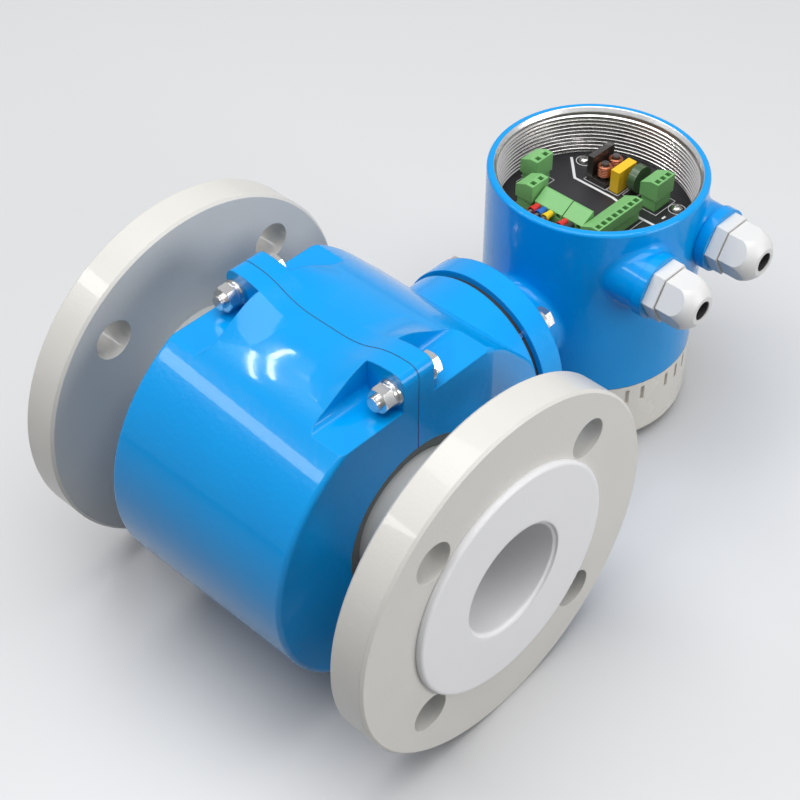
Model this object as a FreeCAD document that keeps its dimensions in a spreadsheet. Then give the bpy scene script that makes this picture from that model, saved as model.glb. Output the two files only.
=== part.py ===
import FreeCAD, Part
import math
import os
import re

import Sketcher

# Electromagnetic flow meter, DN 50, with flanges and an integral round converter.
# Frame: origin at the middle of the bore, +X along the bore to the outlet flange,
# +Y along the neck to the converter, +Z along the converter's axis to its terminal end.
# Everything is in millimetres.

SIZES = {
    # --- flow tube, flanges and liner
    "face_to_face": 200.0,
    "bore_d": 50.0,
    "liner_wall": 3.5,
    "flare_margin": 0.25,
    "liner_flare": 3.0,
    "liner_lip": 1.5,
    "tube_wall": 3.0,
    "flange_d": 165.0,
    "flange_thick": 17.0,
    "flange_chamfer": 1.2,
    "flange_pcd": 125.0,
    "flange_hole_d": 18.0,
    "flange_hole_count": 4,
    # --- the two cast half shells
    "shell_half_width": 48.5,
    "shell_r": 72.0,
    "shell_flat": 5.5,
    "shell_wall": 5.5,
    "shell_edge": 2.0,
    "shell_opening_gap": 6.5,
    "crown_step": 21.6,
    "shoulder_angle": 43.0,
    "taper_start": 43.5,
    "ring_gap": 0.3,
    "ring_width": 5.0,
    "ring_recess": 2.0,
    # --- lugs and clamp bolts of the half shells
    "lug_rise": 7.3,
    "lug_length": 40.5,
    "lug_ramp": 33.0,
    "lug_corner": 5.0,
    "lug_seat": 8.5,
    "lug_tail": 34.0,
    "tail_sink": 0.1,
    "lug_depth": 12.0,
    "pocket_length": 19.0,
    "pocket_depth": 9.5,
    "pocket_round": 4.0,
    "bolt_inset": 6.0,
    "bolt_drop": 2.0,
    "bolt_d": 6.0,
    "bolt_gap": 0.5,
    "bolt_head_af": 10.0,
    "bolt_head": 4.0,
    "bolt_tail": 2.5,
    "nut_height": 5.0,
    "washer_d": 12.0,
    "washer_thick": 1.6,
    "spring_washer_d": 10.6,
    "spring_washer_thick": 1.5,
    # --- neck joint
    "neck_r": 40.0,
    "neck_rise": 13.6,
    "neck_gap": 3.2,
    "neck_bore_r": 16.0,
    "neck_plate": 12.0,
    "room_roof": 50.0,
    "neck_bolt_inset": 5.0,
    "neck_ring_step": 1.0,
    "neck_ring_thick": 11.7,
    "neck_stub_wall": 4.5,
    "thread_gap": 0.1,
    "gasket_inset": 2.0,
    "blind_room": 1.0,
    # --- coils, poles and electrodes inside the shells
    "pole_gap": 0.2,
    "pole_shoe_thick": 3.5,
    "pole_shoe_half": 17.0,
    "pole_shoe_z": 20.0,
    "pole_r": 11.0,
    "coil_gap": 0.6,
    "coil_r": 26.0,
    "coil_height": 13.0,
    "yoke_thick": 2.5,
    "yoke_half_width": 16.0,
    "electrode_head_r": 4.5,
    "electrode_head": 1.5,
    "electrode_r": 2.0,
    "electrode_stick": 12.5,
    "electrode_gap": 0.1,
    "insulator_r": 4.0,
    "insulator_flange_r": 6.5,
    "insulator_flange": 2.5,
    "electrode_nut_af": 7.0,
    "electrode_nut": 3.2,
    # --- converter housing
    "neck_stub_length": 19.5,
    "housing_r": 50.0,
    "housing_top": 58.5,
    "housing_bottom": -31.5,
    "housing_wall": 4.5,
    "rim_flare": 1.3,
    "rim_round": 1.5,
    "deck_top": 23.0,
    "deck_thick": 4.0,
    "casting_round": 4.0,
    "rim_depth": 2.0,
    "gland_y": 22.7,
    "gland_z": 33.5,
    "boss_r": 14.0,
    "boss_reach": 5.0,
    "collar_r": 15.0,
    "collar_width": 5.0,
    "post_x": 27.0,
    "post_y": 25.7,
    "post_r": 3.5,
    "post_hole_r": 1.25,
    "lead_slot_half": 16.5,
    "lead_slot_inset": 6.0,
    "lead_slot_edge": 3.1,
    # --- cable glands
    "gland_thread_r": 10.0,
    "gland_thread_gap": 0.1,
    "gland_thread_length": 13.0,
    "gland_hex_af": 24.0,
    "gland_hex": 6.0,
    "gland_collet_r": 8.8,
    "gland_collet": 8.0,
    "gland_bore_r": 6.6,
    "dome_af": 22.0,
    "dome_length": 16.0,
    "dome_gap": 0.4,
    "dome_wall": 2.0,
    "dome_mouth_step": 0.4,
    "seal_hole_r": 4.2,
    "seal_length": 9.0,
    # --- display cover and what is behind it
    "cover_gap": 0.3,
    "cover_bottom": -64.4,
    "cover_edge": 3.0,
    "cover_spigot": 9.8,
    "cover_spigot_wall": 4.0,
    "cover_lip": 3.0,
    "window_r": 32.0,
    "window_seat": 4.0,
    "glass_thick": 4.0,
    "glass_seal": 1.0,
    "grip_groups": 10,
    "grip_per_group": 3,
    "grip_step": 9.4,
    "grip_width": 2.0,
    "grip_height": 8.0,
    "grip_depth": 1.4,
    "grip_below_edge": 2.5,
    "grip_middle": 8.6,
    "ring_section_r": 1.2,
    "module_gap": 1.2,
    "module_wall": 2.0,
    "panel_gap": 6.4,
    "panel_thick": 2.0,
    "lcd_width": 46.0,
    "lcd_height": 22.0,
    "lcd_y": 8.0,
    "lcd_border": 2.0,
    "lcd_thick": 4.0,
    "board_thick": 1.6,
    "main_board_z": -5.0,
    "key_r": 3.0,
    "key_gap": 0.25,
    "key_pitch": 13.0,
    "key_y": -14.0,
    "key_proud": 1.5,
    "key_length": 5.5,
    # --- terminal board
    "board_z": 33.0,
    "board_gap": 0.7,
    "board_chord_inset": 16.0,
    "screw_d": 3.0,
    "screw_head_r": 2.75,
    "screw_head": 1.9,
    "screw_length": 7.0,
    "header_height": 5.9,
    "header_width": 8.0,
    "header_inset": 0.6,
    "header_wall": 1.1,
    "header_floor": 1.2,
    "plug_gap": 0.2,
    "plug_width": 9.8,
    "plug_side": 0.5,
    "plug_flat": 4.0,
    "plug_drop": 2.6,
    "entry_size": 2.5,
    "entry_depth": 6.0,
    "entry_inset": 2.1,
    "block_width": 8.0,
    "block_ridge": 1.0,
    "block_drop": 4.0,
    "block_entry_r": 1.3,
    "block_entry_depth": 3.0,
    "choke_x": -12.0,
    "choke_y": 23.0,
    "choke_width": 11.0,
    "choke_length": 15.5,
    "choke_height": 13.4,
    "choke_bar": 3.2,
    "choke_foot": 2.6,
    "winding_drop": 2.6,
    "winding_r": 3.6,
    "winding_gap": 1.0,
    "winding_y": 4.0,
    "capacitor_x": -2.0,
    "capacitor_y": 22.3,
    "capacitor_width": 4.7,
    "capacitor_length": 13.0,
    "capacitor_height": 11.5,
    "varistor_x": 5.2,
    "varistor_y": 24.6,
    "varistor_r": 6.5,
    "varistor_thick": 4.0,
    "varistor_lift": 0.4,
    # --- leads from the sensor
    "lead_r": 0.9,
    "lead_height": 6.1,
    "lead_drop_inset": 4.2,
    "lead_bend": 3.0,
    "ferrule_r": 1.9,
    "ferrule_length": 5.0,
}

# Pluggable terminals: middle on the board (x, y), ways, pitch, height above the board.
PLUGS = {
    "pulse_plug": (-33.5, -2.3, 2, 5.08, 15.4),
    "current_plug": (-23.4, -17.5, 2, 5.08, 14.9),
    "power_plug": (16.8, 22.6, 3, 3.81, 15.4),
    "output_plug": (15.1, -7.7, 8, 3.81, 11.4),
}

# Board-mounted blocks that hold the sensor's leads: the same numbers.
BLOCKS = {
    "signal_terminal": (-9.65, -18.2, 4, 3.81, 11.7),
    "coil_terminal": (4.25, -18.2, 3, 3.50, 11.7),
}

for terminal, numbers in {**PLUGS, **BLOCKS}.items():
    for suffix, number in zip(("x", "y", "ways", "pitch", "height"), numbers):
        SIZES[f"{terminal}_{suffix}"] = number

# Lengths that several pieces share, worked out from the sheet.
FACE = "(face_to_face / 2 - liner_flare)"
FLANGE_BACK = "(face_to_face / 2 - liner_flare - flange_thick)"
FLARE_R = "((flange_pcd - flange_hole_d) / 2 - flare_margin)"
LINER_R = "(bore_d / 2 + liner_wall)"
TUBE_R = "(bore_d / 2 + liner_wall + tube_wall)"
OPENING_R = f"({TUBE_R} + shell_opening_gap)"
CROWN_R = "(shell_r - crown_step)"
RIDGE_Z = "(shell_r + lug_rise)"
LUG_START = "(shell_half_width - lug_length)"
LUG_ROOT = "(shell_r - lug_depth)"
POCKET_WALL = "(shell_half_width - pocket_length)"
POCKET_FLOOR = "(shell_r - pocket_depth)"
BOLT_X = "(shell_half_width - bolt_inset)"
BOLT_Z = "(shell_r - bolt_drop)"
SHELL_IN = "(shell_r - shell_wall)"
FLOOR_IN = f"({POCKET_FLOOR} - shell_wall)"
COIL_TOP = f"({TUBE_R} + pole_gap + pole_shoe_thick + coil_gap + coil_height)"
YOKE_IN = f"(sqrt({COIL_TOP} ^ 2 + coil_r ^ 2) + coil_gap)"
ELECTRODE_END = f"({TUBE_R} + electrode_stick)"
END_EDGE = "min(shell_edge; (shell_half_width - neck_r) / 4)"
NECK_FACE = "(shell_r + neck_rise)"
NECK_BOLT_R = "(neck_r - neck_bolt_inset)"
NECK_RING_R = "(neck_r + neck_ring_step)"
NECK_STUB_R = "(neck_bore_r + neck_stub_wall)"
HEAD_PLANE = f"({NECK_FACE} + neck_gap + neck_ring_thick)"
NECK_REACH = f"({HEAD_PLANE} + neck_stub_length + housing_r)"
STUB_DROP = "(housing_r + neck_stub_length)"
RING_DROP = f"({STUB_DROP} + neck_ring_thick)"
HOUSING_BORE_R = "(housing_r - housing_wall)"
SPIGOT_R = f"({HOUSING_BORE_R} - cover_gap)"
COVER_TOP = "(housing_bottom - cover_gap)"
WINDOW_TOP = "(cover_bottom + cover_lip + glass_seal + glass_thick)"
MODULE_R = f"({SPIGOT_R} - cover_spigot_wall - module_gap)"
MODULE_IN = f"({MODULE_R} - module_wall)"
PANEL_Z = f"({WINDOW_TOP} + panel_gap)"
PANEL_BACK = f"({PANEL_Z} + panel_thick)"
DISPLAY_BOARD_Z = f"({PANEL_BACK} + lcd_thick)"
BOARD_TOP = "(board_z + board_thick)"
BOARD_CHORD = "(housing_r - board_chord_inset)"
HEADER_TOP = f"({BOARD_TOP} + header_height)"
LEAD_LEVEL = f"({BOARD_TOP} + lead_height)"
LEAD_SLOT_Y = f"({HOUSING_BORE_R} - lead_slot_inset)"
LEAD_SLOT_END = f"({HOUSING_BORE_R} - lead_slot_edge)"
BOSS_END = "(housing_r + boss_reach)"
GLAND_FACE = f"({BOSS_END} + gland_hex)"
DOME_MOUTH_R = "(seal_hole_r + dome_mouth_step)"

doc = FreeCAD.newDocument("flow_meter")
dims = doc.addObject("Spreadsheet::Sheet", "dims")
for cell, (alias, number) in enumerate(SIZES.items(), start=1):
    dims.set(f"A{cell}", str(number))
    dims.setAlias(f"A{cell}", alias)
doc.recompute()

nodes = []


# ---------------------------------------------------------------- helpers

def bound(text):
    """The expression with each size's alias written as a cell of the sheet."""
    return re.sub(r"[a-z][a-z0-9_]*", lambda word: "dims." + word.group() if word.group() in SIZES
                  else word.group(), str(text))


def value(text):
    """The number that an expression gives now."""
    return float(dims.evalExpression(bound(text)))


def make_body(name, y="0", z="0", node=True):
    """A PartDesign body whose origin lies at height z on the bore's or converter's axis."""
    body = doc.addObject("PartDesign::Body", name)
    body.Label = name
    body.setExpression(".Placement.Base.y", bound(y))
    body.setExpression(".Placement.Base.z", bound(z))
    if node:
        nodes.append(body)
    return body


def make_sketch(body, plane, offset="0"):
    """A sketch on one of the body's origin planes, moved along the plane's normal."""
    sketch = body.newObject("Sketcher::SketchObject", body.Name + "_sketch")
    base = next(item for item in body.Origin.OriginFeatures if item.Role == plane + "_Plane")
    sketch.AttachmentSupport = [(base, "")]
    sketch.MapMode = "FlatFace"
    sketch.setExpression("AttachmentOffset.Base.z", bound(offset))
    return sketch


def hold(sketch, kind, *where, size):
    """A constraint whose value follows an expression."""
    index = sketch.addConstraint(Sketcher.Constraint(kind, *where, value(size)))
    sketch.setExpression(f"Constraints[{index}]", bound(size))


def outline(sketch, corners):
    """A closed outline. A corner is (x, y), or (x, y, radius) where an arc leads on from it:
    a positive radius turns left on the way to the next corner, a negative one right."""
    points = [FreeCAD.Vector(value(corner[0]), value(corner[1]), 0) for corner in corners]
    ends = []
    for here, corner in enumerate(corners):
        start, stop = points[here], points[(here + 1) % len(points)]
        if len(corner) == 2:
            edge = sketch.addGeometry(Part.LineSegment(start, stop), False)
            ends.append((edge, 1, 2))
            continue
        radius = value(corner[2])
        chord = stop - start
        left = FreeCAD.Vector(-chord.y, chord.x, 0).normalize()
        rise = math.sqrt(max(radius ** 2 - (chord.Length / 2) ** 2, 0.0))
        centre = (start + stop) * 0.5 + left * math.copysign(rise, radius)
        first, last = (start, stop) if radius > 0 else (stop, start)
        angles = [math.atan2(point.y - centre.y, point.x - centre.x) for point in (first, last)]
        circle = Part.Circle(centre, FreeCAD.Vector(0, 0, 1), abs(radius))
        edge = sketch.addGeometry(Part.ArcOfCircle(circle, *angles), False)
        ends.append((edge, 1, 2) if radius > 0 else (edge, 2, 1))
        hold(sketch, "Radius", edge, size=f"abs({corner[2]})")
    for here, (edge, first, last) in enumerate(ends):
        after = ends[(here + 1) % len(ends)]
        sketch.addConstraint(Sketcher.Constraint("Coincident", edge, last, after[0], after[1]))
        hold(sketch, "DistanceX", -1, 1, edge, first, size=corners[here][0])
        hold(sketch, "DistanceY", -1, 1, edge, first, size=corners[here][1])


def circle(sketch, x, y, radius):
    """A circle whose centre and radius follow expressions."""
    centre = FreeCAD.Vector(value(x), value(y), 0)
    edge = sketch.addGeometry(Part.Circle(centre, FreeCAD.Vector(0, 0, 1), value(radius)), False)
    hold(sketch, "Radius", edge, size=radius)
    hold(sketch, "DistanceX", -1, 1, edge, 3, size=x)
    hold(sketch, "DistanceY", -1, 1, edge, 3, size=y)


def rectangle(sketch, x_low, x_high, y_low, y_high):
    outline(sketch, [(x_low, y_low), (x_high, y_low), (x_high, y_high), (x_low, y_high)])


def hexagon(sketch, across_flats, x="0", y="0"):
    """A hexagon with two flats square to the sketch's y axis."""
    corner_r = f"({across_flats}) / 2 / cos(30)"
    outline(sketch, [(f"({x}) + {corner_r} * cos({turn})", f"({y}) + {corner_r} * sin({turn})")
                     for turn in range(0, 360, 60)])


def sweep(body, kind, sketch, length, both=False, reverse=False):
    feature = body.newObject("PartDesign::" + kind, f"{body.Name}_{kind.lower()}")
    feature.Profile = sketch
    feature.setExpression("Length", bound(length))
    feature.SideType = "Symmetric" if both else "One side"
    feature.Reversed = reverse
    return feature


def pad(body, sketch, length, both=False, reverse=False):
    """Material along the sketch's normal, or against it when reversed."""
    return sweep(body, "Pad", sketch, length, both, reverse)


def pocket(body, sketch, length, both=False, along=True):
    """A cut along the sketch's normal (a pocket's own way is against it)."""
    return sweep(body, "Pocket", sketch, length, both, along)


def turn(body, kind, sketch, axis):
    """A Revolution or Groove about the sketch's horizontal (H) or vertical (V) axis."""
    feature = body.newObject("PartDesign::" + kind, f"{body.Name}_{kind.lower()}")
    feature.Profile = sketch
    feature.ReferenceAxis = (sketch, [axis + "_Axis"])
    feature.Angle = 360
    return feature


def origin_item(body, role):
    return next(item for item in body.Origin.OriginFeatures if item.Role == role)


def mirrored(body, originals, *planes):
    """The originals again on the other side of each plane, all combinations."""
    if len(planes) == 1:
        feature = body.newObject("PartDesign::Mirrored", body.Name + "_mirrored")
        feature.Originals = originals
        feature.MirrorPlane = (origin_item(body, planes[0] + "_Plane"), [""])
        body.Tip = feature
        return feature
    feature = body.newObject("PartDesign::MultiTransform", body.Name + "_mirrors")
    feature.Originals = originals
    steps = []
    for plane in planes:
        step = body.newObject("PartDesign::Mirrored", body.Name + "_mirror")
        step.MirrorPlane = (origin_item(body, plane + "_Plane"), [""])
        steps.append(step)
    feature.Transformations = steps
    body.Tip = feature
    return feature


def polar(body, originals, axis, count, span="360"):
    """The originals repeated about an axis of the body."""
    feature = body.newObject("PartDesign::PolarPattern", body.Name + "_polar")
    feature.Originals = originals
    feature.Axis = (origin_item(body, axis + "_Axis"), [""])
    feature.setExpression("Angle", bound(span))
    feature.setExpression("Occurrences", bound(count))
    body.Tip = feature
    return feature


def row(body, originals, axis, pitch, count):
    """The originals repeated in a straight row."""
    feature = body.newObject("PartDesign::LinearPattern", body.Name + "_row")
    feature.Originals = originals
    feature.Direction = (origin_item(body, axis + "_Axis"), [""])
    feature.setExpression("Length", bound(f"{pitch} * ({count} - 1)"))
    feature.setExpression("Occurrences", bound(count))
    body.Tip = feature
    return feature


def rounded(body, radius, wanted):
    """A fillet on the edges of the body's last feature that the test picks."""
    doc.recompute()
    base = body.Tip
    names = [f"Edge{number}" for number, edge in enumerate(base.Shape.Edges, start=1) if wanted(edge)]
    feature = body.newObject("PartDesign::Fillet", body.Name + "_fillet")
    feature.Base = (base, names)
    feature.setExpression("Radius", bound(radius))
    return feature


def copies(name, template, places):
    """One node that holds the same fastener at several places."""
    doc.recompute()
    group = doc.addObject("Part::Feature", name)
    group.Label = name
    solids = []
    for place in places:
        solid = template.Shape.copy()
        solid.Placement = place.multiply(solid.Placement)
        solids.append(solid)
    group.Shape = Part.makeCompound(solids)
    nodes.append(group)
    return group


def at(x, y, z, turn_x=0.0):
    """A place in the meter's frame, turned about X."""
    return FreeCAD.Placement(FreeCAD.Vector(x, y, z), FreeCAD.Rotation(FreeCAD.Vector(1, 0, 0), turn_x))


# ---------------------------------------------------------------- flow tube

def build_measuring_tube():
    body = make_body("measuring_tube")
    wall = make_sketch(body, "XY")
    rectangle(wall, f"-{FACE}", FACE, LINER_R, TUBE_R)
    turn(body, "Revolution", wall, "H")
    hole = make_sketch(body, "XY")
    circle(hole, "0", "0", "insulator_r + electrode_gap")
    pocket(body, hole, f"{TUBE_R} * 4", both=True)


def build_liner():
    """PTFE liner, flared over both flange faces, with seats for the electrode heads."""
    body = make_body("ptfe_liner")
    end = "face_to_face / 2"
    inner = "bore_d / 2"
    profile = make_sketch(body, "XY")
    outline(profile, [
        (f"-{end} + liner_lip", inner),
        (f"{end} - liner_lip", inner, "liner_lip * -1"),
        (end, f"{inner} + liner_lip"),
        (end, f"{FLARE_R} - liner_lip", "liner_lip"),
        (f"{end} - liner_lip", FLARE_R),
        (FACE, FLARE_R),
        (FACE, LINER_R),
        (f"-{FACE}", LINER_R),
        (f"-{FACE}", FLARE_R),
        (f"-{end} + liner_lip", FLARE_R, "liner_lip"),
        (f"-{end}", f"{FLARE_R} - liner_lip"),
        (f"-{end}", f"{inner} + liner_lip", "liner_lip * -1"),
    ])
    turn(body, "Revolution", profile, "H")
    through = make_sketch(body, "XY")
    circle(through, "0", "0", "electrode_r + electrode_gap")
    pocket(body, through, "bore_d * 2", both=True)
    seat = make_sketch(body, "XY", f"{inner} - 2")
    circle(seat, "0", "0", "electrode_head_r + electrode_gap")
    sink = pocket(body, seat, "2 + electrode_head + electrode_gap * 2")
    mirrored(body, [sink], "XY")


def build_flange(name, side):
    """Slip-on flange, bolt holes straddling the neck's plane. side is 1 at the outlet."""
    body = make_body(name)
    face, back = (FACE, FLANGE_BACK) if side > 0 else (f"-{FACE}", f"-{FLANGE_BACK}")
    inward = "" if side > 0 else "-1 * "
    rim = "flange_d / 2"
    corners = [
        (back, TUBE_R),
        (face, TUBE_R),
        (face, f"{rim} - flange_chamfer"),
        (f"{face} - {inward}flange_chamfer", rim),
        (f"{back} + {inward}flange_chamfer", rim),
        (back, f"{rim} - flange_chamfer"),
    ]
    profile = make_sketch(body, "XY")
    outline(profile, corners)
    turn(body, "Revolution", profile, "H")
    drill = make_sketch(body, "YZ")
    spot = "flange_pcd / 2 * cos(180 / flange_hole_count)"
    circle(drill, spot, "flange_pcd / 2 * sin(180 / flange_hole_count)", "flange_hole_d / 2")
    hole = pocket(body, drill, "face_to_face * 2", both=True)
    polar(body, [hole], "X", "flange_hole_count")


def build_shell_ring(name, side):
    """Ring welded on the tube, which the half shells close on."""
    body = make_body(name)
    outer = "shell_half_width - ring_recess"
    inner = "shell_half_width - ring_recess - ring_width"
    sign = "" if side > 0 else "-"
    profile = make_sketch(body, "XY")
    outline(profile, [
        (f"{sign}({inner})", TUBE_R),
        (f"{sign}({outer})", TUBE_R),
        (f"{sign}({outer})", f"{OPENING_R} - ring_gap"),
        (f"{sign}({inner})", f"{OPENING_R} - ring_gap"),
    ])
    turn(body, "Revolution", profile, "H")


# ---------------------------------------------------------------- half shells

def flank_corners(radius):
    """The lower shell's section: half round, with a straight piece at the parting plane."""
    return [
        ("0", radius),
        ("-shell_flat", radius, radius),
        (f"-(shell_flat + {radius})", "0", radius),
        ("-shell_flat", f"-{radius}"),
        ("0", f"-{radius}"),
    ]


def shoulder_corners(wall="0"):
    """The upper shell's section: flank, sloping shoulder and crown, drawn in by a wall."""
    flank_r = f"(shell_r - {wall})"
    top_r = f"({CROWN_R} - {wall})"
    slope = "(crown_step * tan(shoulder_angle))"
    flank_y = f"(shell_flat + {flank_r} * cos(shoulder_angle))"
    flank_z = f"({flank_r} * sin(shoulder_angle))"
    crown_y = f"({flank_y} + {slope} * sin(shoulder_angle))"
    crown_z = f"({flank_z} - {slope} * cos(shoulder_angle))"
    top = f"(shell_flat + crown_step / cos(shoulder_angle) + {top_r})"
    return [
        ("0", flank_r),
        ("shell_flat", flank_r, f"-{flank_r}"),
        (flank_y, flank_z),
        (crown_y, crown_z, f"-{top_r}"),
        (top, "0", f"-{top_r}"),
        (crown_y, f"-{crown_z}"),
        (flank_y, f"-{flank_z}", f"-{flank_r}"),
        ("shell_flat", f"-{flank_r}"),
        ("0", f"-{flank_r}"),
    ]


def lug_profile(sketch, top, low):
    """A lug seen along the neck: a ramp that swells to the crest at the shell's end."""
    crest = f"({top})"
    foot = f"({low})"
    half_rise = f"(({crest} + {foot}) / 2)"
    radius = f"((lug_ramp ^ 2 + ({crest} - {foot}) ^ 2) / (4 * ({crest} - {foot})))"
    outline(sketch, [
        (LUG_START, LUG_ROOT),
        ("shell_half_width", LUG_ROOT),
        ("shell_half_width", f"{crest} - lug_corner", "lug_corner"),
        ("shell_half_width - lug_corner", crest),
        (f"{LUG_START} + lug_ramp", crest, radius),
        (f"{LUG_START} + lug_ramp / 2", half_rise, f"-{radius}"),
        (LUG_START, foot),
    ])


def add_lugs(body, side):
    """Four lugs at the parting plane, each sinking smoothly into the flank along the section."""
    seat = make_sketch(body, "XZ")
    lug_profile(seat, RIDGE_Z, "shell_r")
    block = pad(body, seat, "lug_seat", reverse=side > 0)
    away = "-" if side > 0 else ""
    slices = []
    for part in range(5):
        y = f"(lug_seat + (lug_tail - lug_seat) * {part} / 4)"
        swell = f"(lug_rise * (1 + cos(45 * {part})) / 2)"
        flank_z = f"(sqrt(shell_r ^ 2 - ({y} - shell_flat) ^ 2) - tail_sink)"
        slices.append(make_sketch(body, "XZ", f"{away}{y}"))
        if part == 0:
            lug_profile(slices[0], RIDGE_Z, "shell_r")
        else:
            lug_profile(slices[-1], f"{flank_z} + {swell}", f"{flank_z} - tail_sink")
    tail = body.newObject("PartDesign::AdditiveLoft", body.Name + "_tail")
    tail.Profile = slices[0]
    tail.Sections = slices[1:]
    mirrored(body, [block, tail], "YZ", "XY")


def cut_lug_pockets(body, side):
    """Wrench pockets behind the lugs and the clamp bolts' holes."""
    away = "-" if side > 0 else ""
    clear = "shell_r * 2"
    slot = make_sketch(body, "XZ", f"{away}lug_seat")
    outline(slot, [
        (POCKET_WALL, clear),
        (POCKET_WALL, f"{POCKET_FLOOR} + pocket_round", "pocket_round"),
        (f"{POCKET_WALL} + pocket_round", POCKET_FLOOR),
        ("shell_half_width * 2", POCKET_FLOOR),
        ("shell_half_width * 2", clear),
    ])
    cut = pocket(body, slot, "shell_r", along=side < 0)
    drill = make_sketch(body, "XZ")
    circle(drill, BOLT_X, BOLT_Z, "(bolt_d + bolt_gap) / 2")
    hole = pocket(body, drill, "lug_seat * 4", both=True)
    mirrored(body, [cut, hole], "YZ", "XY")


def hollow(body, side):
    """Room for the coils: wide in the middle, lower and narrower where the pockets are."""
    sign = "" if side > 0 else "-"
    bend = f"-{SHELL_IN}" if side > 0 else SHELL_IN
    middle = make_sketch(body, "YZ")
    outline(middle, shoulder_corners("shell_wall") if side > 0 else flank_corners(SHELL_IN))
    pocket(body, middle, f"({POCKET_WALL} - shell_wall) * 2", both=True)
    corner_y = f"{sign}(shell_flat + sqrt({SHELL_IN} ^ 2 - {FLOOR_IN} ^ 2))"
    roof_y = f"{sign}room_roof"
    roof_z = f"sqrt({SHELL_IN} ^ 2 - (room_roof - shell_flat) ^ 2)"
    ends = make_sketch(body, "YZ")
    outline(ends, [
        ("0", FLOOR_IN),
        (corner_y, FLOOR_IN, bend),
        (roof_y, roof_z),
        (roof_y, f"-{roof_z}", bend),
        (corner_y, f"-{FLOOR_IN}"),
        ("0", f"-{FLOOR_IN}"),
    ])
    pocket(body, ends, "(shell_half_width - shell_wall) * 2", both=True)
    mouth = make_sketch(body, "YZ")
    circle(mouth, "0", "0", OPENING_R)
    pocket(body, mouth, "shell_half_width * 4", both=True)


def end_edges(edge):
    """Edges between the shell's outline and its two ends."""
    box = edge.BoundBox
    return min(abs(box.XMin), abs(box.XMax)) > value("neck_r") - 2 and box.YLength > 1e-3


def build_lower_shell():
    body = make_body("lower_shell")
    profile = make_sketch(body, "YZ")
    outline(profile, flank_corners("shell_r"))
    pad(body, profile, "shell_half_width * 2", both=True)
    rounded(body, END_EDGE, end_edges)
    add_lugs(body, -1)
    cut_lug_pockets(body, -1)
    hollow(body, -1)


def build_upper_shell():
    """Upper half shell, which tapers to the round neck that carries the converter."""
    body = make_body("upper_shell")
    profile = make_sketch(body, "YZ")
    outline(profile, shoulder_corners())
    pad(body, profile, "shell_half_width * 2", both=True)
    taper = make_sketch(body, "XY")
    outline(taper, [
        ("shell_half_width", "taper_start"),
        ("shell_half_width * 2", "taper_start"),
        ("shell_half_width * 2", f"{NECK_FACE} * 2"),
        (f"neck_r - (shell_half_width - neck_r) * {NECK_FACE} / ({NECK_FACE} - taper_start)",
         f"{NECK_FACE} * 2"),
    ])
    slope = pocket(body, taper, "shell_r * 4", both=True)
    mirrored(body, [slope], "YZ")
    rounded(body, END_EDGE, end_edges)
    neck = make_sketch(body, "XZ", "-taper_start")
    circle(neck, "0", "0", "neck_r")
    pad(body, neck, f"{NECK_FACE} - taper_start", reverse=True)
    add_lugs(body, 1)
    cut_lug_pockets(body, 1)
    hollow(body, 1)
    bore = make_sketch(body, "XZ", "-taper_start")
    circle(bore, "0", "0", "neck_bore_r")
    pocket(body, bore, NECK_FACE, along=False)
    drill = make_sketch(body, "XZ", f"-{NECK_FACE}")
    spot = f"{NECK_BOLT_R} * cos(45)"
    circle(drill, spot, spot, "bolt_d / 2")
    hole = pocket(body, drill, "neck_plate")
    polar(body, [hole], "Y", "4")


# ---------------------------------------------------------------- clamp bolts

def build_bolt(name, shank):
    """Hexagon bolt that lies along Z, the face under its head at z = 0."""
    body = make_body(name, node=False)
    head = make_sketch(body, "XY")
    hexagon(head, "bolt_head_af")
    pad(body, head, "bolt_head")
    stem = make_sketch(body, "XY")
    circle(stem, "0", "0", "bolt_d / 2")
    pad(body, stem, shank, reverse=True)
    chamfer_head(body, "bolt_head_af", "bolt_head")
    return body


def chamfer_head(body, across_flats, height):
    """The turned 30 degree chamfer on top of a hexagon."""
    corner = f"({across_flats} / 2 / cos(30))"
    edge = make_sketch(body, "XZ")
    outline(edge, [
        (f"{across_flats} / 2", height),
        (f"{corner} + 1", f"{height} - ({corner} + 1 - {across_flats} / 2) * tan(30)"),
        (f"{corner} + 1", height),
    ])
    turn(body, "Groove", edge, "V")


def build_washer(name, outer, thick):
    body = make_body(name, node=False)
    ring = make_sketch(body, "XY")
    circle(ring, "0", "0", f"{outer} / 2")
    circle(ring, "0", "0", "(bolt_d + bolt_gap) / 2")
    pad(body, ring, thick)
    return body


def build_nut(name, across_flats, hole, height):
    body = make_body(name, node=False)
    shape = make_sketch(body, "XY")
    hexagon(shape, across_flats)
    circle(shape, "0", "0", f"{hole} / 2 + thread_gap")
    pad(body, shape, height)
    chamfer_head(body, across_flats, height)
    return body


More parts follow.
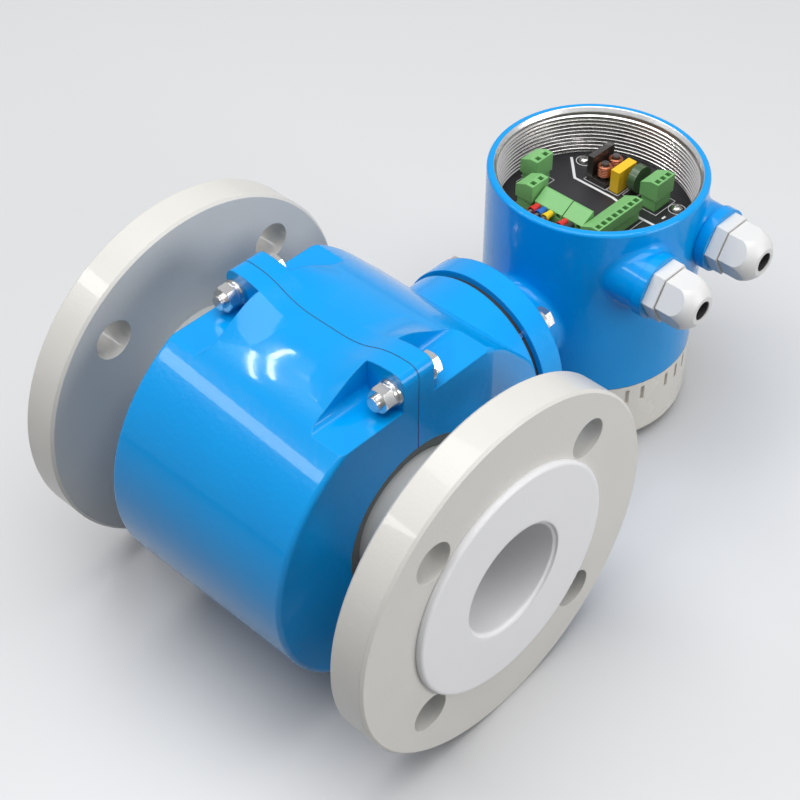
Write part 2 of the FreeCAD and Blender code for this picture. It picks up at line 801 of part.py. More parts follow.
def place_shell_fasteners():
    """Bolt heads on the upper lugs; nuts on spring and flat washers under the lower ones."""
    seat, thick, spring = value("lug_seat"), value("washer_thick"), value("spring_washer_thick")
    nut = value("nut_height")
    bolt = build_bolt("shell_bolt_form", "(lug_seat + washer_thick) * 2 + spring_washer_thick"
                      " + nut_height + bolt_tail")
    washer = build_washer("washer_form", "washer_d", "washer_thick")
    spring_washer = build_washer("spring_washer_form", "spring_washer_d", "spring_washer_thick")
    nut_form = build_nut("nut_form", "bolt_head_af", "bolt_d", "nut_height")
    spots = [(x, z) for x in (-value(BOLT_X), value(BOLT_X))
             for z in (-value(BOLT_Z), value(BOLT_Z))]

    def row_at(y, turned=-90.0):
        return [at(x, y, z, turned) for x, z in spots]

    copies("shell_bolts", bolt, row_at(seat + thick))
    copies("shell_flat_washers", washer, row_at(seat) + row_at(-seat - thick))
    copies("shell_spring_washers", spring_washer, row_at(-seat - thick - spring))
    copies("shell_nuts", nut_form, row_at(-seat - thick - spring, 90.0))
    return washer


def place_neck_fasteners(washer):
    head = value(HEAD_PLANE)
    reach = value(NECK_BOLT_R) * math.cos(math.pi / 4)
    bolt = build_bolt("neck_bolt_form", "washer_thick + neck_ring_thick + neck_gap + neck_plate"
                      " - blind_room")
    spots = [(x, z) for x in (-reach, reach) for z in (-reach, reach)]
    copies("neck_bolts", bolt, [at(x, head + value("washer_thick"), z, -90.0) for x, z in spots])
    copies("neck_washers", washer, [at(x, head, z, -90.0) for x, z in spots])


def build_neck_gasket():
    body = make_body("neck_gasket")
    ring = make_sketch(body, "XZ", f"-{NECK_FACE}")
    circle(ring, "0", "0", "neck_r - gasket_inset")
    circle(ring, "0", "0", "neck_bore_r")
    pad(body, ring, "neck_gap", reverse=True)
    drill = make_sketch(body, "XZ", f"-{NECK_FACE}")
    spot = f"{NECK_BOLT_R} * cos(45)"
    circle(drill, spot, spot, "(bolt_d + bolt_gap) / 2")
    hole = pocket(body, drill, "neck_gap", along=False)
    polar(body, [hole], "Y", "4")


# ---------------------------------------------------------------- coils and electrodes

def build_pole(name, sign):
    """Pole with a saddle shoe that follows the flow tube. sign is 1 above the tube, -1 below."""
    body = make_body(name)
    inner = f"({TUBE_R} + pole_gap)"
    outer = f"({TUBE_R} + pole_gap + pole_shoe_thick)"
    way = "" if sign > 0 else "-"
    turn_out, turn_in = (outer, f"-{inner}") if sign > 0 else (f"-{outer}", inner)
    core = make_sketch(body, "XZ")
    circle(core, "0", "0", "pole_r")
    pad(body, core, f"sqrt({YOKE_IN} ^ 2 - pole_r ^ 2) - thread_gap", reverse=sign > 0)
    shoe = make_sketch(body, "YZ")
    outer_y = f"{way}sqrt({outer} ^ 2 - pole_shoe_z ^ 2)"
    inner_y = f"{way}sqrt({inner} ^ 2 - pole_shoe_z ^ 2)"
    outline(shoe, [
        (outer_y, "-pole_shoe_z", turn_out),
        (outer_y, "pole_shoe_z"),
        (inner_y, "pole_shoe_z", turn_in),
        (inner_y, "-pole_shoe_z"),
    ])
    pad(body, shoe, "pole_shoe_half * 2", both=True)
    bore = make_sketch(body, "YZ")
    circle(bore, "0", "0", inner)
    pocket(body, bore, "pole_shoe_half * 3", both=True)


def build_coil(name, sign):
    body = make_body(name)
    bottom = f"({TUBE_R} + pole_gap + pole_shoe_thick + coil_gap)"
    winding = make_sketch(body, "XZ", f"-{bottom}" if sign > 0 else bottom)
    circle(winding, "0", "0", "coil_r")
    circle(winding, "0", "0", "pole_r + coil_gap")
    pad(body, winding, "coil_height", reverse=sign > 0)


def build_yoke():
    body = make_body("magnet_yoke")
    band = make_sketch(body, "YZ")
    circle(band, "0", "0", f"{YOKE_IN} + yoke_thick")
    circle(band, "0", "0", YOKE_IN)
    pad(body, band, "yoke_half_width * 2", both=True)


def build_electrode(name, sign):
    """Electrode whose head lies in the liner, just clear of the bore."""
    body = make_body(name)
    way = "" if sign > 0 else "-"
    head = f"{way}(bore_d / 2 + electrode_gap)"
    shoulder = f"{way}(bore_d / 2 + electrode_gap + electrode_head)"
    profile = make_sketch(body, "XZ")
    outline(profile, [
        ("0", head),
        ("electrode_head_r", head),
        ("electrode_head_r", shoulder),
        ("electrode_r", shoulder),
        ("electrode_r", f"{way}{ELECTRODE_END}"),
        ("0", f"{way}{ELECTRODE_END}"),
    ])
    turn(body, "Revolution", profile, "V")


def build_insulator(name, sign):
    """Insulating sleeve through the tube's wall, with a flange under the electrode's nut."""
    body = make_body(name)
    way = "" if sign > 0 else "-"
    low = f"{way}({LINER_R} + electrode_gap)"
    seat = f"{way}({TUBE_R} + electrode_gap)"
    top = f"{way}({TUBE_R} + electrode_gap + insulator_flange)"
    profile = make_sketch(body, "XZ")
    outline(profile, [
        ("electrode_r + electrode_gap", low),
        ("insulator_r", low),
        ("insulator_r", seat),
        ("insulator_flange_r", seat),
        ("insulator_flange_r", top),
        ("electrode_r + electrode_gap", top),
    ])
    turn(body, "Revolution", profile, "V")


def place_electrode_nuts():
    nut = build_nut("electrode_nut_form", "electrode_nut_af", "electrode_r * 2", "electrode_nut")
    seat = value(f"{TUBE_R} + electrode_gap + insulator_flange")
    copies("electrode_nuts", nut, [at(0, 0, seat), at(0, 0, -seat, 180.0)])


# ---------------------------------------------------------------- converter housing

def round_casting(edge):
    """Edges where the neck and the gland bosses run into the round wall."""
    box = edge.BoundBox
    at_wall = len(edge.Vertexes) <= 2 and type(edge.Curve).__name__ in ("BSplineCurve", "Curve")
    foot = abs(box.YMin + value(STUB_DROP)) < 1e-3 and box.YLength < 1e-3
    return at_wall or (foot and box.XLength < value(NECK_RING_R) * 1.5)


def build_converter_housing():
    """Cast housing, open at both ends, with a deck between terminals and display."""
    body = make_body("converter_housing", y=NECK_REACH)
    outer = make_sketch(body, "XZ")
    outline(outer, [
        ("0", "housing_bottom"),
        ("housing_r", "housing_bottom"),
        ("housing_r", "housing_top - rim_round", "rim_round"),
        ("housing_r - rim_round", "housing_top"),
        ("0", "housing_top"),
    ])
    turn(body, "Revolution", outer, "V")
    ring = make_sketch(body, "XZ", RING_DROP)
    circle(ring, "0", "0", NECK_RING_R)
    pad(body, ring, "neck_ring_thick", reverse=True)
    stub = make_sketch(body, "XZ", STUB_DROP)
    circle(stub, "0", "0", NECK_STUB_R)
    pad(body, stub, f"{STUB_DROP} - sqrt(housing_r ^ 2 - {NECK_STUB_R} ^ 2)", reverse=True)
    root = make_sketch(body, "YZ", f"{BOSS_END} / 2")
    circle(root, "gland_y", "gland_z", "boss_r")
    boss = pad(body, root, f"{BOSS_END} / 2")
    lip = make_sketch(body, "YZ", f"{BOSS_END} - collar_width")
    circle(lip, "gland_y", "gland_z", "collar_r")
    collar = pad(body, lip, "collar_width")
    mirrored(body, [boss, collar], "XZ")
    rounded(body, "casting_round", round_casting)
    inside = make_sketch(body, "XZ")
    outline(inside, [
        ("0", "deck_top"),
        (HOUSING_BORE_R, "deck_top"),
        (HOUSING_BORE_R, "housing_top - rim_depth"),
        (f"{HOUSING_BORE_R} + rim_flare", "housing_top"),
        ("0", "housing_top"),
    ])
    turn(body, "Groove", inside, "V")
    below = make_sketch(body, "XY", "deck_top - deck_thick")
    circle(below, "0", "0", HOUSING_BORE_R)
    pocket(body, below, "housing_r * 2", along=False)
    add_board_posts(body)
    drill_housing(body)


def add_board_posts(body):
    foot = make_sketch(body, "XY", "deck_top")
    circle(foot, "post_x", "post_y", "post_r")
    post = pad(body, foot, "board_z - deck_top")
    drill = make_sketch(body, "XY", "board_z")
    circle(drill, "post_x", "post_y", "post_hole_r")
    hole = pocket(body, drill, "screw_length - board_thick + blind_room", along=False)
    mirrored(body, [post, hole], "YZ", "XZ")


def drill_housing(body):
    """Gland threads, neck passage, bolt holes and the leads' slot in the deck."""
    tap = make_sketch(body, "YZ", BOSS_END)
    circle(tap, "gland_y", "gland_z", "gland_thread_r + gland_thread_gap")
    thread = pocket(body, tap, f"{BOSS_END} - {BOARD_CHORD}", along=False)
    mirrored(body, [thread], "XZ")
    passage = make_sketch(body, "XZ", RING_DROP)
    circle(passage, "0", "0", "neck_bore_r")
    pocket(body, passage, f"{RING_DROP} - {MODULE_R}", along=False)
    drill = make_sketch(body, "XZ", RING_DROP)
    spot = f"{NECK_BOLT_R} * cos(45)"
    circle(drill, spot, spot, "(bolt_d + bolt_gap) / 2")
    hole = pocket(body, drill, "neck_ring_thick", along=False)
    polar(body, [hole], "Y", "4")
    slot = make_sketch(body, "XY", "deck_top")
    rectangle(slot, "-lead_slot_half", "lead_slot_half", f"-{LEAD_SLOT_END}", f"-{LEAD_SLOT_Y}")
    pocket(body, slot, "deck_thick", along=False)


# ---------------------------------------------------------------- cable glands

def build_gland(side):
    """Gland body: thread in the boss, hexagon, and the collet that the dome nut closes."""
    prefix = "left" if side < 0 else "right"
    y = f"{NECK_REACH} + {side} * gland_y"
    body = make_body(f"{prefix}_gland_body", y=y, z="gland_z")
    flats = make_sketch(body, "YZ", BOSS_END)
    hexagon(flats, "gland_hex_af")
    pad(body, flats, "gland_hex")
    thread = make_sketch(body, "YZ", BOSS_END)
    circle(thread, "0", "0", "gland_thread_r")
    pad(body, thread, "gland_thread_length", reverse=True)
    collet = make_sketch(body, "YZ", GLAND_FACE)
    circle(collet, "0", "0", "gland_collet_r")
    pad(body, collet, "gland_collet")
    bore = make_sketch(body, "YZ")
    circle(bore, "0", "0", "gland_bore_r")
    pocket(body, bore, f"{BOSS_END} * 4", both=True)

    nut = make_body(f"{prefix}_gland_nut", y=y, z="gland_z")
    shape = make_sketch(nut, "YZ", f"{GLAND_FACE} + dome_gap")
    hexagon(shape, "dome_af")
    pad(nut, shape, "dome_length")
    dome = make_sketch(nut, "XY")
    base, nose = f"({GLAND_FACE} + dome_gap)", f"({GLAND_FACE} + dome_gap + dome_length)"
    nose_r = f"({DOME_MOUTH_R} + dome_wall)"
    outline(dome, [
        (f"{base} + dome_length * 0.4", "dome_af / 2 / cos(30) + thread_gap", "-dome_length * 0.75"),
        (nose, nose_r),
        (f"{nose} + 1", nose_r),
        (f"{nose} + 1", "dome_af"),
        (f"{base} + dome_length * 0.4", "dome_af"),
    ])
    turn(nut, "Groove", dome, "H")
    inside = make_sketch(nut, "YZ", base)
    circle(inside, "0", "0", "gland_collet_r + cover_gap")
    pocket(nut, inside, "gland_collet + cover_gap")
    mouth = make_sketch(nut, "YZ", base)
    circle(mouth, "0", "0", DOME_MOUTH_R)
    pocket(nut, mouth, "dome_length * 2")

    seal = make_body(f"{prefix}_gland_seal", y=y, z="gland_z")
    ring = make_sketch(seal, "YZ", f"{GLAND_FACE} + gland_collet - seal_length")
    circle(ring, "0", "0", "gland_bore_r - thread_gap")
    circle(ring, "0", "0", "seal_hole_r")
    pad(seal, ring, "seal_length")


# ---------------------------------------------------------------- display end

def build_display_cover():
    """Screwed cover with a window, an O-ring groove and finger grips around its edge."""
    body = make_body("display_cover", y=NECK_REACH)
    inner = f"({SPIGOT_R} - cover_spigot_wall)"
    seat_r = "(window_r + window_seat)"
    groove = "ring_section_r * 2.2"
    groove_low = f"{COVER_TOP} + 1"
    groove_high = f"{COVER_TOP} + 1 + ring_section_r * 2.5"
    profile = make_sketch(body, "XZ")
    outline(profile, [
        ("window_r", "cover_bottom"),
        ("housing_r - cover_edge", "cover_bottom", "cover_edge"),
        ("housing_r", "cover_bottom + cover_edge"),
        ("housing_r", COVER_TOP),
        (SPIGOT_R, COVER_TOP),
        (SPIGOT_R, groove_low),
        (f"{SPIGOT_R} - {groove}", groove_low),
        (f"{SPIGOT_R} - {groove}", groove_high),
        (SPIGOT_R, groove_high),
        (SPIGOT_R, f"{COVER_TOP} + cover_spigot"),
        (inner, f"{COVER_TOP} + cover_spigot"),
        (inner, WINDOW_TOP),
        (seat_r, WINDOW_TOP),
        (seat_r, "cover_bottom + cover_lip"),
        ("window_r", "cover_bottom + cover_lip"),
    ])
    turn(body, "Revolution", profile, "V")
    grip = make_sketch(body, "XY", f"{COVER_TOP} - grip_below_edge")
    first = "(grip_middle - grip_step * (grip_per_group - 1) / 2)"
    outline(grip, [
        (f"({reach}) * cos({first}) - ({across}) * sin({first})",
         f"({reach}) * sin({first}) + ({across}) * cos({first})")
        for reach, across in (("housing_r - grip_depth", "-grip_width / 2"),
                              ("housing_r * 1.1", "-grip_width / 2"),
                              ("housing_r * 1.1", "grip_width / 2"),
                              ("housing_r - grip_depth", "grip_width / 2"))
    ])
    cut = pocket(body, grip, "grip_height", along=False)
    pattern = body.newObject("PartDesign::MultiTransform", "display_cover_grips")
    pattern.Originals = [cut]
    steps = []
    for count, span in (("grip_per_group", "grip_step * (grip_per_group - 1)"), ("grip_groups", "360")):
        step = body.newObject("PartDesign::PolarPattern", "display_cover_polar")
        step.Axis = (origin_item(body, "Z_Axis"), [""])
        step.setExpression("Angle", bound(span))
        step.setExpression("Occurrences", bound(count))
        steps.append(step)
    pattern.Transformations = steps
    body.Tip = pattern


def build_window():
    glass = make_body("window_glass", y=NECK_REACH)
    disc = make_sketch(glass, "XY", f"{WINDOW_TOP} - glass_thick")
    circle(disc, "0", "0", "window_r + window_seat - cover_gap")
    pad(glass, disc, "glass_thick")
    seal = make_body("window_seal", y=NECK_REACH)
    ring = make_sketch(seal, "XY", "cover_bottom + cover_lip")
    circle(ring, "0", "0", "window_r + window_seat - cover_gap")
    circle(ring, "0", "0", "window_r")
    pad(seal, ring, "glass_seal")
    oring = make_body("cover_oring", y=NECK_REACH)
    section = make_sketch(oring, "XZ")
    circle(section, f"{SPIGOT_R} - ring_section_r", f"{COVER_TOP} + 1 + ring_section_r * 1.25",
           "ring_section_r")
    turn(oring, "Revolution", section, "V")


def build_display_module():
    """Cup behind the window that carries the display, its keys and the main board."""
    panel = make_body("display_panel", y=NECK_REACH)
    cup = make_sketch(panel, "XZ")
    outline(cup, [
        ("0", PANEL_Z),
        (MODULE_R, PANEL_Z),
        (MODULE_R, "deck_top - deck_thick"),
        (MODULE_IN, "deck_top - deck_thick"),
        (MODULE_IN, PANEL_BACK),
        ("0", PANEL_BACK),
    ])
    turn(panel, "Revolution", cup, "V")
    opening = make_sketch(panel, "XY", PANEL_Z)
    rectangle(opening, "-lcd_width / 2", "lcd_width / 2",
              "lcd_y - lcd_height / 2", "lcd_y + lcd_height / 2")
    pocket(panel, opening, "panel_thick")
    key_row = make_sketch(panel, "XY", PANEL_Z)
    for place in ("-1.5", "-0.5", "0.5", "1.5"):
        circle(key_row, f"key_pitch * ({place})", "key_y", "key_r + key_gap")
    pocket(panel, key_row, "panel_thick")

    module = make_body("lcd_module", y=NECK_REACH)
    frame = make_sketch(module, "XY", PANEL_BACK)
    half_x, half_y = "(lcd_width / 2 + lcd_border)", "(lcd_height / 2 + lcd_border)"
    rectangle(frame, f"-{half_x}", half_x, f"lcd_y - {half_y}", f"lcd_y + {half_y}")
    pad(module, frame, "lcd_thick")

    for name, height in (("display_board", DISPLAY_BOARD_Z), ("main_board", "main_board_z")):
        board = make_body(name, y=NECK_REACH)
        disc = make_sketch(board, "XY", height)
        circle(disc, "0", "0", f"{MODULE_IN} - cover_gap")
        pad(board, disc, "board_thick")

    for number, place in enumerate(("-1.5", "-0.5", "0.5", "1.5"), start=1):
        key = make_body(f"display_key_{number}", y=NECK_REACH)
        stem = make_sketch(key, "XY", f"{PANEL_Z} - key_proud")
        circle(stem, f"key_pitch * ({place})", "key_y", "key_r")
        pad(key, stem, "key_length")
        flange = make_sketch(key, "XY", f"{PANEL_BACK} + key_gap")
        circle(flange, f"key_pitch * ({place})", "key_y", "key_r + key_gap * 5")
        pad(key, flange, "key_length - key_proud - panel_thick - key_gap")


# ---------------------------------------------------------------- terminal board

def build_terminal_board():
    board = make_body("terminal_board", y=NECK_REACH)
    disc = make_sketch(board, "XY", "board_z")
    circle(disc, "0", "0", f"{HOUSING_BORE_R} - board_gap")
    pad(board, disc, "board_thick")
    chord = make_sketch(board, "XY", "board_z")
    rectangle(chord, BOARD_CHORD, "housing_r", "-housing_r", "housing_r")
    rectangle(chord, "-lead_slot_half", "lead_slot_half", "-housing_r", f"-{LEAD_SLOT_Y}")
    pocket(board, chord, "board_thick")
    holes = make_sketch(board, "XY", "board_z")
    circle(holes, "post_x", "post_y", "screw_d / 2 + thread_gap")
    hole = pocket(board, holes, "board_thick")
    mirrored(board, [hole], "YZ", "XZ")
    screw = make_body("board_screw_form", node=False)
    head = make_sketch(screw, "XZ")
    outline(head, [
        ("0", "-screw_length"),
        ("post_hole_r - thread_gap", "-screw_length"),
        ("post_hole_r - thread_gap", "0"),
        ("screw_head_r", "0"),
        ("screw_head_r", "screw_head / 3", "screw_head * 0.9"),
        ("screw_head_r - screw_head * 0.6", "screw_head"),
        ("0", "screw_head"),
    ])
    turn(screw, "Revolution", head, "V")
    x, y, top = value("post_x"), value("post_y"), value(BOARD_TOP)
    copies("board_screws", screw, [at(side * x, value(NECK_REACH) + way * y, top)
                                   for side in (-1, 1) for way in (-1, 1)])


def plug_length(name):
    return f"({name}_ways * {name}_pitch + plug_side * 2)"


def build_headers():
    """Board headers that the four plugs push into, all in one node."""
    headers = make_body("terminal_headers", y=NECK_REACH)
    headers.AllowCompound = True
    base = make_sketch(headers, "XY", BOARD_TOP)
    room = make_sketch(headers, "XY", f"{BOARD_TOP} + header_floor")
    for name in PLUGS:
        for sketch, wall in ((base, "0"), (room, "header_wall")):
            half_x = f"(header_width / 2 - {wall})"
            half_y = f"({plug_length(name)} / 2 - header_inset - {wall})"
            rectangle(sketch, f"{name}_x - {half_x}", f"{name}_x + {half_x}",
                      f"{name}_y - {half_y}", f"{name}_y + {half_y}")
    pad(headers, base, "header_height")
    pocket(headers, room, "header_height")


def build_plug(name):
    """Plug with a slope towards -X and a square wire entry for each way beside its edge."""
    body = make_body(name, y=f"{NECK_REACH} + {name}_y")
    body.setExpression(".Placement.Base.x", bound(f"{name}_x"))
    half = "(plug_width / 2)"
    top = f"({BOARD_TOP} + {name}_height)"
    bottom = f"{HEADER_TOP} + plug_gap"
    section = make_sketch(body, "XZ")
    outline(section, [
        (f"-{half}", bottom),
        (half, bottom),
        (half, top),
        (f"{half} - plug_flat", top),
        (f"-{half}", f"{top} - plug_drop"),
    ])
    pad(body, section, plug_length(name), both=True)
    tongue = make_sketch(body, "XY", f"{BOARD_TOP} + header_floor + plug_gap")
    tongue_x = "(header_width / 2 - header_wall - plug_gap)"
    tongue_y = f"({plug_length(name)} / 2 - header_inset - header_wall - plug_gap)"
    rectangle(tongue, f"-{tongue_x}", tongue_x, f"-{tongue_y}", tongue_y)
    pad(body, tongue, "header_height - header_floor")
    entry = make_sketch(body, "XY", top)
    first = f"(-{name}_pitch * ({name}_ways - 1) / 2)"
    rectangle(entry, f"{half} - entry_inset - entry_size / 2", f"{half} - entry_inset + entry_size / 2",
              f"{first} - entry_size / 2", f"{first} + entry_size / 2")
    cut = pocket(body, entry, "entry_depth", along=False)
    row(body, [cut], "Y", f"{name}_pitch", f"{name}_ways")


def build_block(name):
    """Terminal block with a broad slope over the side where the sensor's leads go in."""
    body = make_body(name, y=f"{NECK_REACH} + {name}_y")
    body.setExpression(".Placement.Base.x", bound(f"{name}_x"))
    half = "(block_width / 2)"
    top = f"({BOARD_TOP} + {name}_height)"
    section = make_sketch(body, "YZ")
    outline(section, [
        (f"-{half}", BOARD_TOP),
        (half, BOARD_TOP),
        (half, top),
        (f"{half} - block_ridge", top),
        (f"-{half}", f"{top} - block_drop"),
    ])
    pad(body, section, f"{name}_ways * {name}_pitch + plug_side", both=True)
    entry = make_sketch(body, "XZ", half)
    circle(entry, f"-{name}_pitch * ({name}_ways - 1) / 2", LEAD_LEVEL, "block_entry_r")
    cut = pocket(body, entry, "block_entry_depth", along=False)
    row(body, [cut], "X", f"{name}_pitch", f"{name}_ways")


def build_board_parts():
    """Common-mode choke, film capacitor and varistor of the supply's filter."""
    choke = make_body("choke_core", y=f"{NECK_REACH} + choke_y")
    choke.setExpression(".Placement.Base.x", bound("choke_x"))
    foot = make_sketch(choke, "XY", BOARD_TOP)
    rectangle(foot, "-choke_width / 2", "choke_width / 2", "-choke_length / 2", "choke_length / 2")
    pad(choke, foot, "choke_foot")
    bar = make_sketch(choke, "XY", BOARD_TOP)
    rectangle(bar, "-choke_width / 2", "-choke_width / 2 + choke_bar",
              "-choke_length / 2", "choke_length / 2")
    pad(choke, bar, "choke_height")
    legs = make_sketch(choke, "XY", f"{BOARD_TOP} + choke_foot")
    for way in ("-", ""):
        circle(legs, "choke_width / 2 - winding_r", f"{way}winding_y", "winding_r / 2")
    pad(choke, legs, "choke_height - choke_foot - winding_drop")

    windings = make_body("choke_windings", y=f"{NECK_REACH} + choke_y")
    windings.setExpression(".Placement.Base.x", bound("choke_x"))
    windings.AllowCompound = True
    turns = make_sketch(windings, "XY", f"{BOARD_TOP} + choke_foot + winding_gap")
    for way in ("-", ""):
        circle(turns, "choke_width / 2 - winding_r", f"{way}winding_y", "winding_r - thread_gap")
        circle(turns, "choke_width / 2 - winding_r", f"{way}winding_y", "winding_r / 2 + thread_gap")
    pad(windings, turns, "choke_height - choke_foot - winding_drop - winding_gap * 2")

    box = make_body("film_capacitor", y=f"{NECK_REACH} + capacitor_y")
    box.setExpression(".Placement.Base.x", bound("capacitor_x"))
    base = make_sketch(box, "XY", BOARD_TOP)
    rectangle(base, "-capacitor_width / 2", "capacitor_width / 2",
              "-capacitor_length / 2", "capacitor_length / 2")
    pad(box, base, "capacitor_height")

    disc = make_body("varistor", y=f"{NECK_REACH} + varistor_y")
    disc.setExpression(".Placement.Base.x", bound("varistor_x"))
    face = make_sketch(disc, "YZ")
    circle(face, "0", f"{BOARD_TOP} + varistor_lift + varistor_r", "varistor_r")
    pad(disc, face, "varistor_thick", both=True)


# ---------------------------------------------------------------- leads

# Each lead: the block and way that hold it, its lane through the neck, and its route below
# the neck (x, y, z in the meter's frame) to what it connects.
LEAD_Z = -4.0
SENSOR_LEADS = {
    "signal_leads": [
        ("signal_terminal", 0, -9.0, [(-9, 62, LEAD_Z), (-9, 62, 30), (-20, 48, 40), (-20, 0, 40),
                                      (-2.1, 0, 40)]),
        ("signal_terminal", 1, -5.5, [(-5.5, 62, LEAD_Z), (-5.5, 62, -30), (-20, 48, -40), (-20, 0, -40),
                                      (-2.1, 0, -40)]),
        ("signal_terminal", 2, -2.0, [(-2, 66, LEAD_Z), (-2, 66, -26), (20, 50, -38), (20, 20, -38),
                                      (20, 20, -24.6)]),
    ],
    "coil_leads": [
        ("coil_terminal", 0, 1.5, [(1.5, 60, LEAD_Z), (20, 60, LEAD_Z), (20, 49.3, LEAD_Z)]),
        ("coil_terminal", 1, 5.0, [(5, 64, LEAD_Z), (5, 64, 24), (22, 48, 38), (22, -42, 38),
                                   (22, -42, 15.3)]),
    ],
}
COIL_LINK = [(-22, 42, -15.3), (-22, 42, -38), (-22, -42, -38), (-22, -42, -15.3)]


def route(points, bend):
    """A path through the points: straight runs joined by tangent arcs."""
    corners = [FreeCAD.Vector(*point) for point in points]
    edges = []
    start = corners[0]
    for before, corner, after in zip(corners, corners[1:], corners[2:]):
        inward = (corner - before).normalize()
        outward = (after - corner).normalize()
        half = inward.getAngle(outward) / 2
        first = corner - inward * (bend * math.tan(half))
        last = corner + outward * (bend * math.tan(half))
        middle = corner + (outward - inward).normalize() * (bend / math.cos(half) - bend)
        edges.append(Part.LineSegment(start, first).toShape())
        edges.append(Part.Arc(first, middle, last).toShape())
        start = last
    edges.append(Part.LineSegment(start, corners[-1]).toShape())
    return Part.Wire(edges)


def swept(path, radius):
    start = path.Edges[0]
    first = start.FirstParameter
    section = Part.Circle(start.valueAt(first), start.tangentAt(first), radius)
    return path.makePipeShell([Part.Wire([section.toShape()])], True, False)


def shape_node(name, solids):
    group = doc.addObject("Part::Feature", name)
    group.Label = name
    group.Shape = Part.makeCompound(solids)
    nodes.append(group)


def build_leads():
    """Leads from the blocks down the neck to the coils, electrodes and tube."""
    ferrules = []
    reach, drop = value(NECK_REACH), value(f"{NECK_REACH} - {HOUSING_BORE_R} + lead_drop_inset")
    level, bend, radius = value(LEAD_LEVEL), value("lead_bend"), value("lead_r")
    for name, leads in SENSOR_LEADS.items():
        solids = []
        for block, way, lane, below in leads:
            x = value(f"{block}_x - {block}_pitch * ({block}_ways - 1) / 2 + {way} * {block}_pitch")
            face = reach + value(f"{block}_y - block_width / 2")
            sleeve_end = face - value("ferrule_length")
            above = [(x, sleeve_end, level), (x, drop, level), (x, drop, level - 26), (lane, drop, LEAD_Z)]
            solids.append(swept(route(above + below, bend), radius))
            sleeve = Part.makeCylinder(value("ferrule_r"), value("ferrule_length") - value("thread_gap"),
                                       FreeCAD.Vector(x, face - value("thread_gap"), level),
                                       FreeCAD.Vector(0, -1, 0))
            pin = Part.makeCylinder(radius, value("block_entry_depth") - value("thread_gap"),
                                    FreeCAD.Vector(x, face - value("thread_gap"), level),
                                    FreeCAD.Vector(0, 1, 0))
            ferrules.append(sleeve.fuse(pin))
        if name == "coil_leads":
            solids.append(swept(route(COIL_LINK, bend), radius))
        shape_node(name, solids)
    shape_node("lead_ferrules", ferrules)


# ---------------------------------------------------------------- the whole meter

build_measuring_tube()
build_liner()
for side, end in ((-1, "inlet"), (1, "outlet")):
    build_flange(f"{end}_flange", side)
    build_shell_ring(f"{end}_shell_ring", side)
build_lower_shell()
build_upper_shell()
plain_washer = place_shell_fasteners()
place_neck_fasteners(plain_washer)
build_neck_gasket()
for sign, half in ((1, "upper"), (-1, "lower")):
    build_pole(f"{half}_pole", sign)
    build_coil(f"{half}_coil", sign)
build_yoke()
for sign, end in ((1, "front"), (-1, "rear")):
    build_electrode(f"{end}_electrode", sign)
    build_insulator(f"{end}_electrode_insulator", sign)
place_electrode_nuts()
build_converter_housing()
for side in (-1, 1):
    build_gland(side)
build_display_cover()
build_window()
build_display_module()
build_terminal_board()
build_headers()
for plug in PLUGS:
    build_plug(plug)
for block in BLOCKS:
    build_block(block)
build_board_parts()
build_leads()
doc.recompute()

for item in doc.Objects:
    if set(item.State) & {"Invalid", "Error"}:
        raise RuntimeError(f"{item.Label} did not build")
os.makedirs("parts", exist_ok=True)
for node in nodes:
    if node.Shape.isNull() or not node.Shape.isValid() or not node.Shape.Solids:
        raise RuntimeError(f"{node.Label} is not a valid solid")
    node.Shape.exportStep(f"parts/{node.Label}.step")
print(f"{len(nodes)} parts written")
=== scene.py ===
import math

import bmesh
import bpy
from mathutils import Matrix, Vector
from mathutils.bvhtree import BVHTree


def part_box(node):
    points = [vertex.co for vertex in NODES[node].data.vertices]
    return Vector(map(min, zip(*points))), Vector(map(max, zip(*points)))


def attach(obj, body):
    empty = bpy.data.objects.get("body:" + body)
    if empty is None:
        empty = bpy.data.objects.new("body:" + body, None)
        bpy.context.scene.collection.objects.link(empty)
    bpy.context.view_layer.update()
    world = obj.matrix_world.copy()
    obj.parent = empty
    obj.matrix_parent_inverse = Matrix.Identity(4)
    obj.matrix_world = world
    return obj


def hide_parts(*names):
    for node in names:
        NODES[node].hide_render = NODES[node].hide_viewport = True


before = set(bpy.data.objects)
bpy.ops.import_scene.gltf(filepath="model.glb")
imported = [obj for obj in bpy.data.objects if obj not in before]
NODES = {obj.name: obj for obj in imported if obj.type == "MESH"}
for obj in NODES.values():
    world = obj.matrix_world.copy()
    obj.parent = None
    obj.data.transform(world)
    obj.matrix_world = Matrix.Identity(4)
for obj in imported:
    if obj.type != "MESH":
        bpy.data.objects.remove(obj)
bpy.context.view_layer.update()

# Electromagnetic flow meter: finishes, small turned and printed details, light and camera.
# Metres, in the frame of the solids: +X along the bore, +Y along the neck, +Z along the
# converter's axis to its open terminal end.

MM = 0.001

HOUSING_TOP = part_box("converter_housing")[1].z
COVER_LOW, COVER_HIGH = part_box("display_cover")
BOARD_LOW, BOARD_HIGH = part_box("terminal_board")
FLANGE_LOW, FLANGE_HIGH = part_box("outlet_flange")
CONVERTER_Y = (COVER_LOW.y + COVER_HIGH.y) / 2
FLANGE_R = (FLANGE_HIGH.y - FLANGE_LOW.y) / 2
BOARD_TOP = BOARD_HIGH.z

# The thread's bottom lies one gap outside the board's edge, and the bare rim one step beyond that.
BOARD_GAP = 0.7 * MM
RIM_STEP = 1.3 * MM
THREAD_R = BOARD_HIGH.y - CONVERTER_Y + BOARD_GAP
RIM_R = THREAD_R + RIM_STEP
SCREW_HEAD_R = 2.75 * MM
TERMINAL_PITCH = 3.81 * MM
COIL_TERMINAL_PITCH = 3.5 * MM

# Points of a mesh that lie nearer than this are one.
WELD = 0.001 * MM


# ---------------------------------------------------------------- node groups

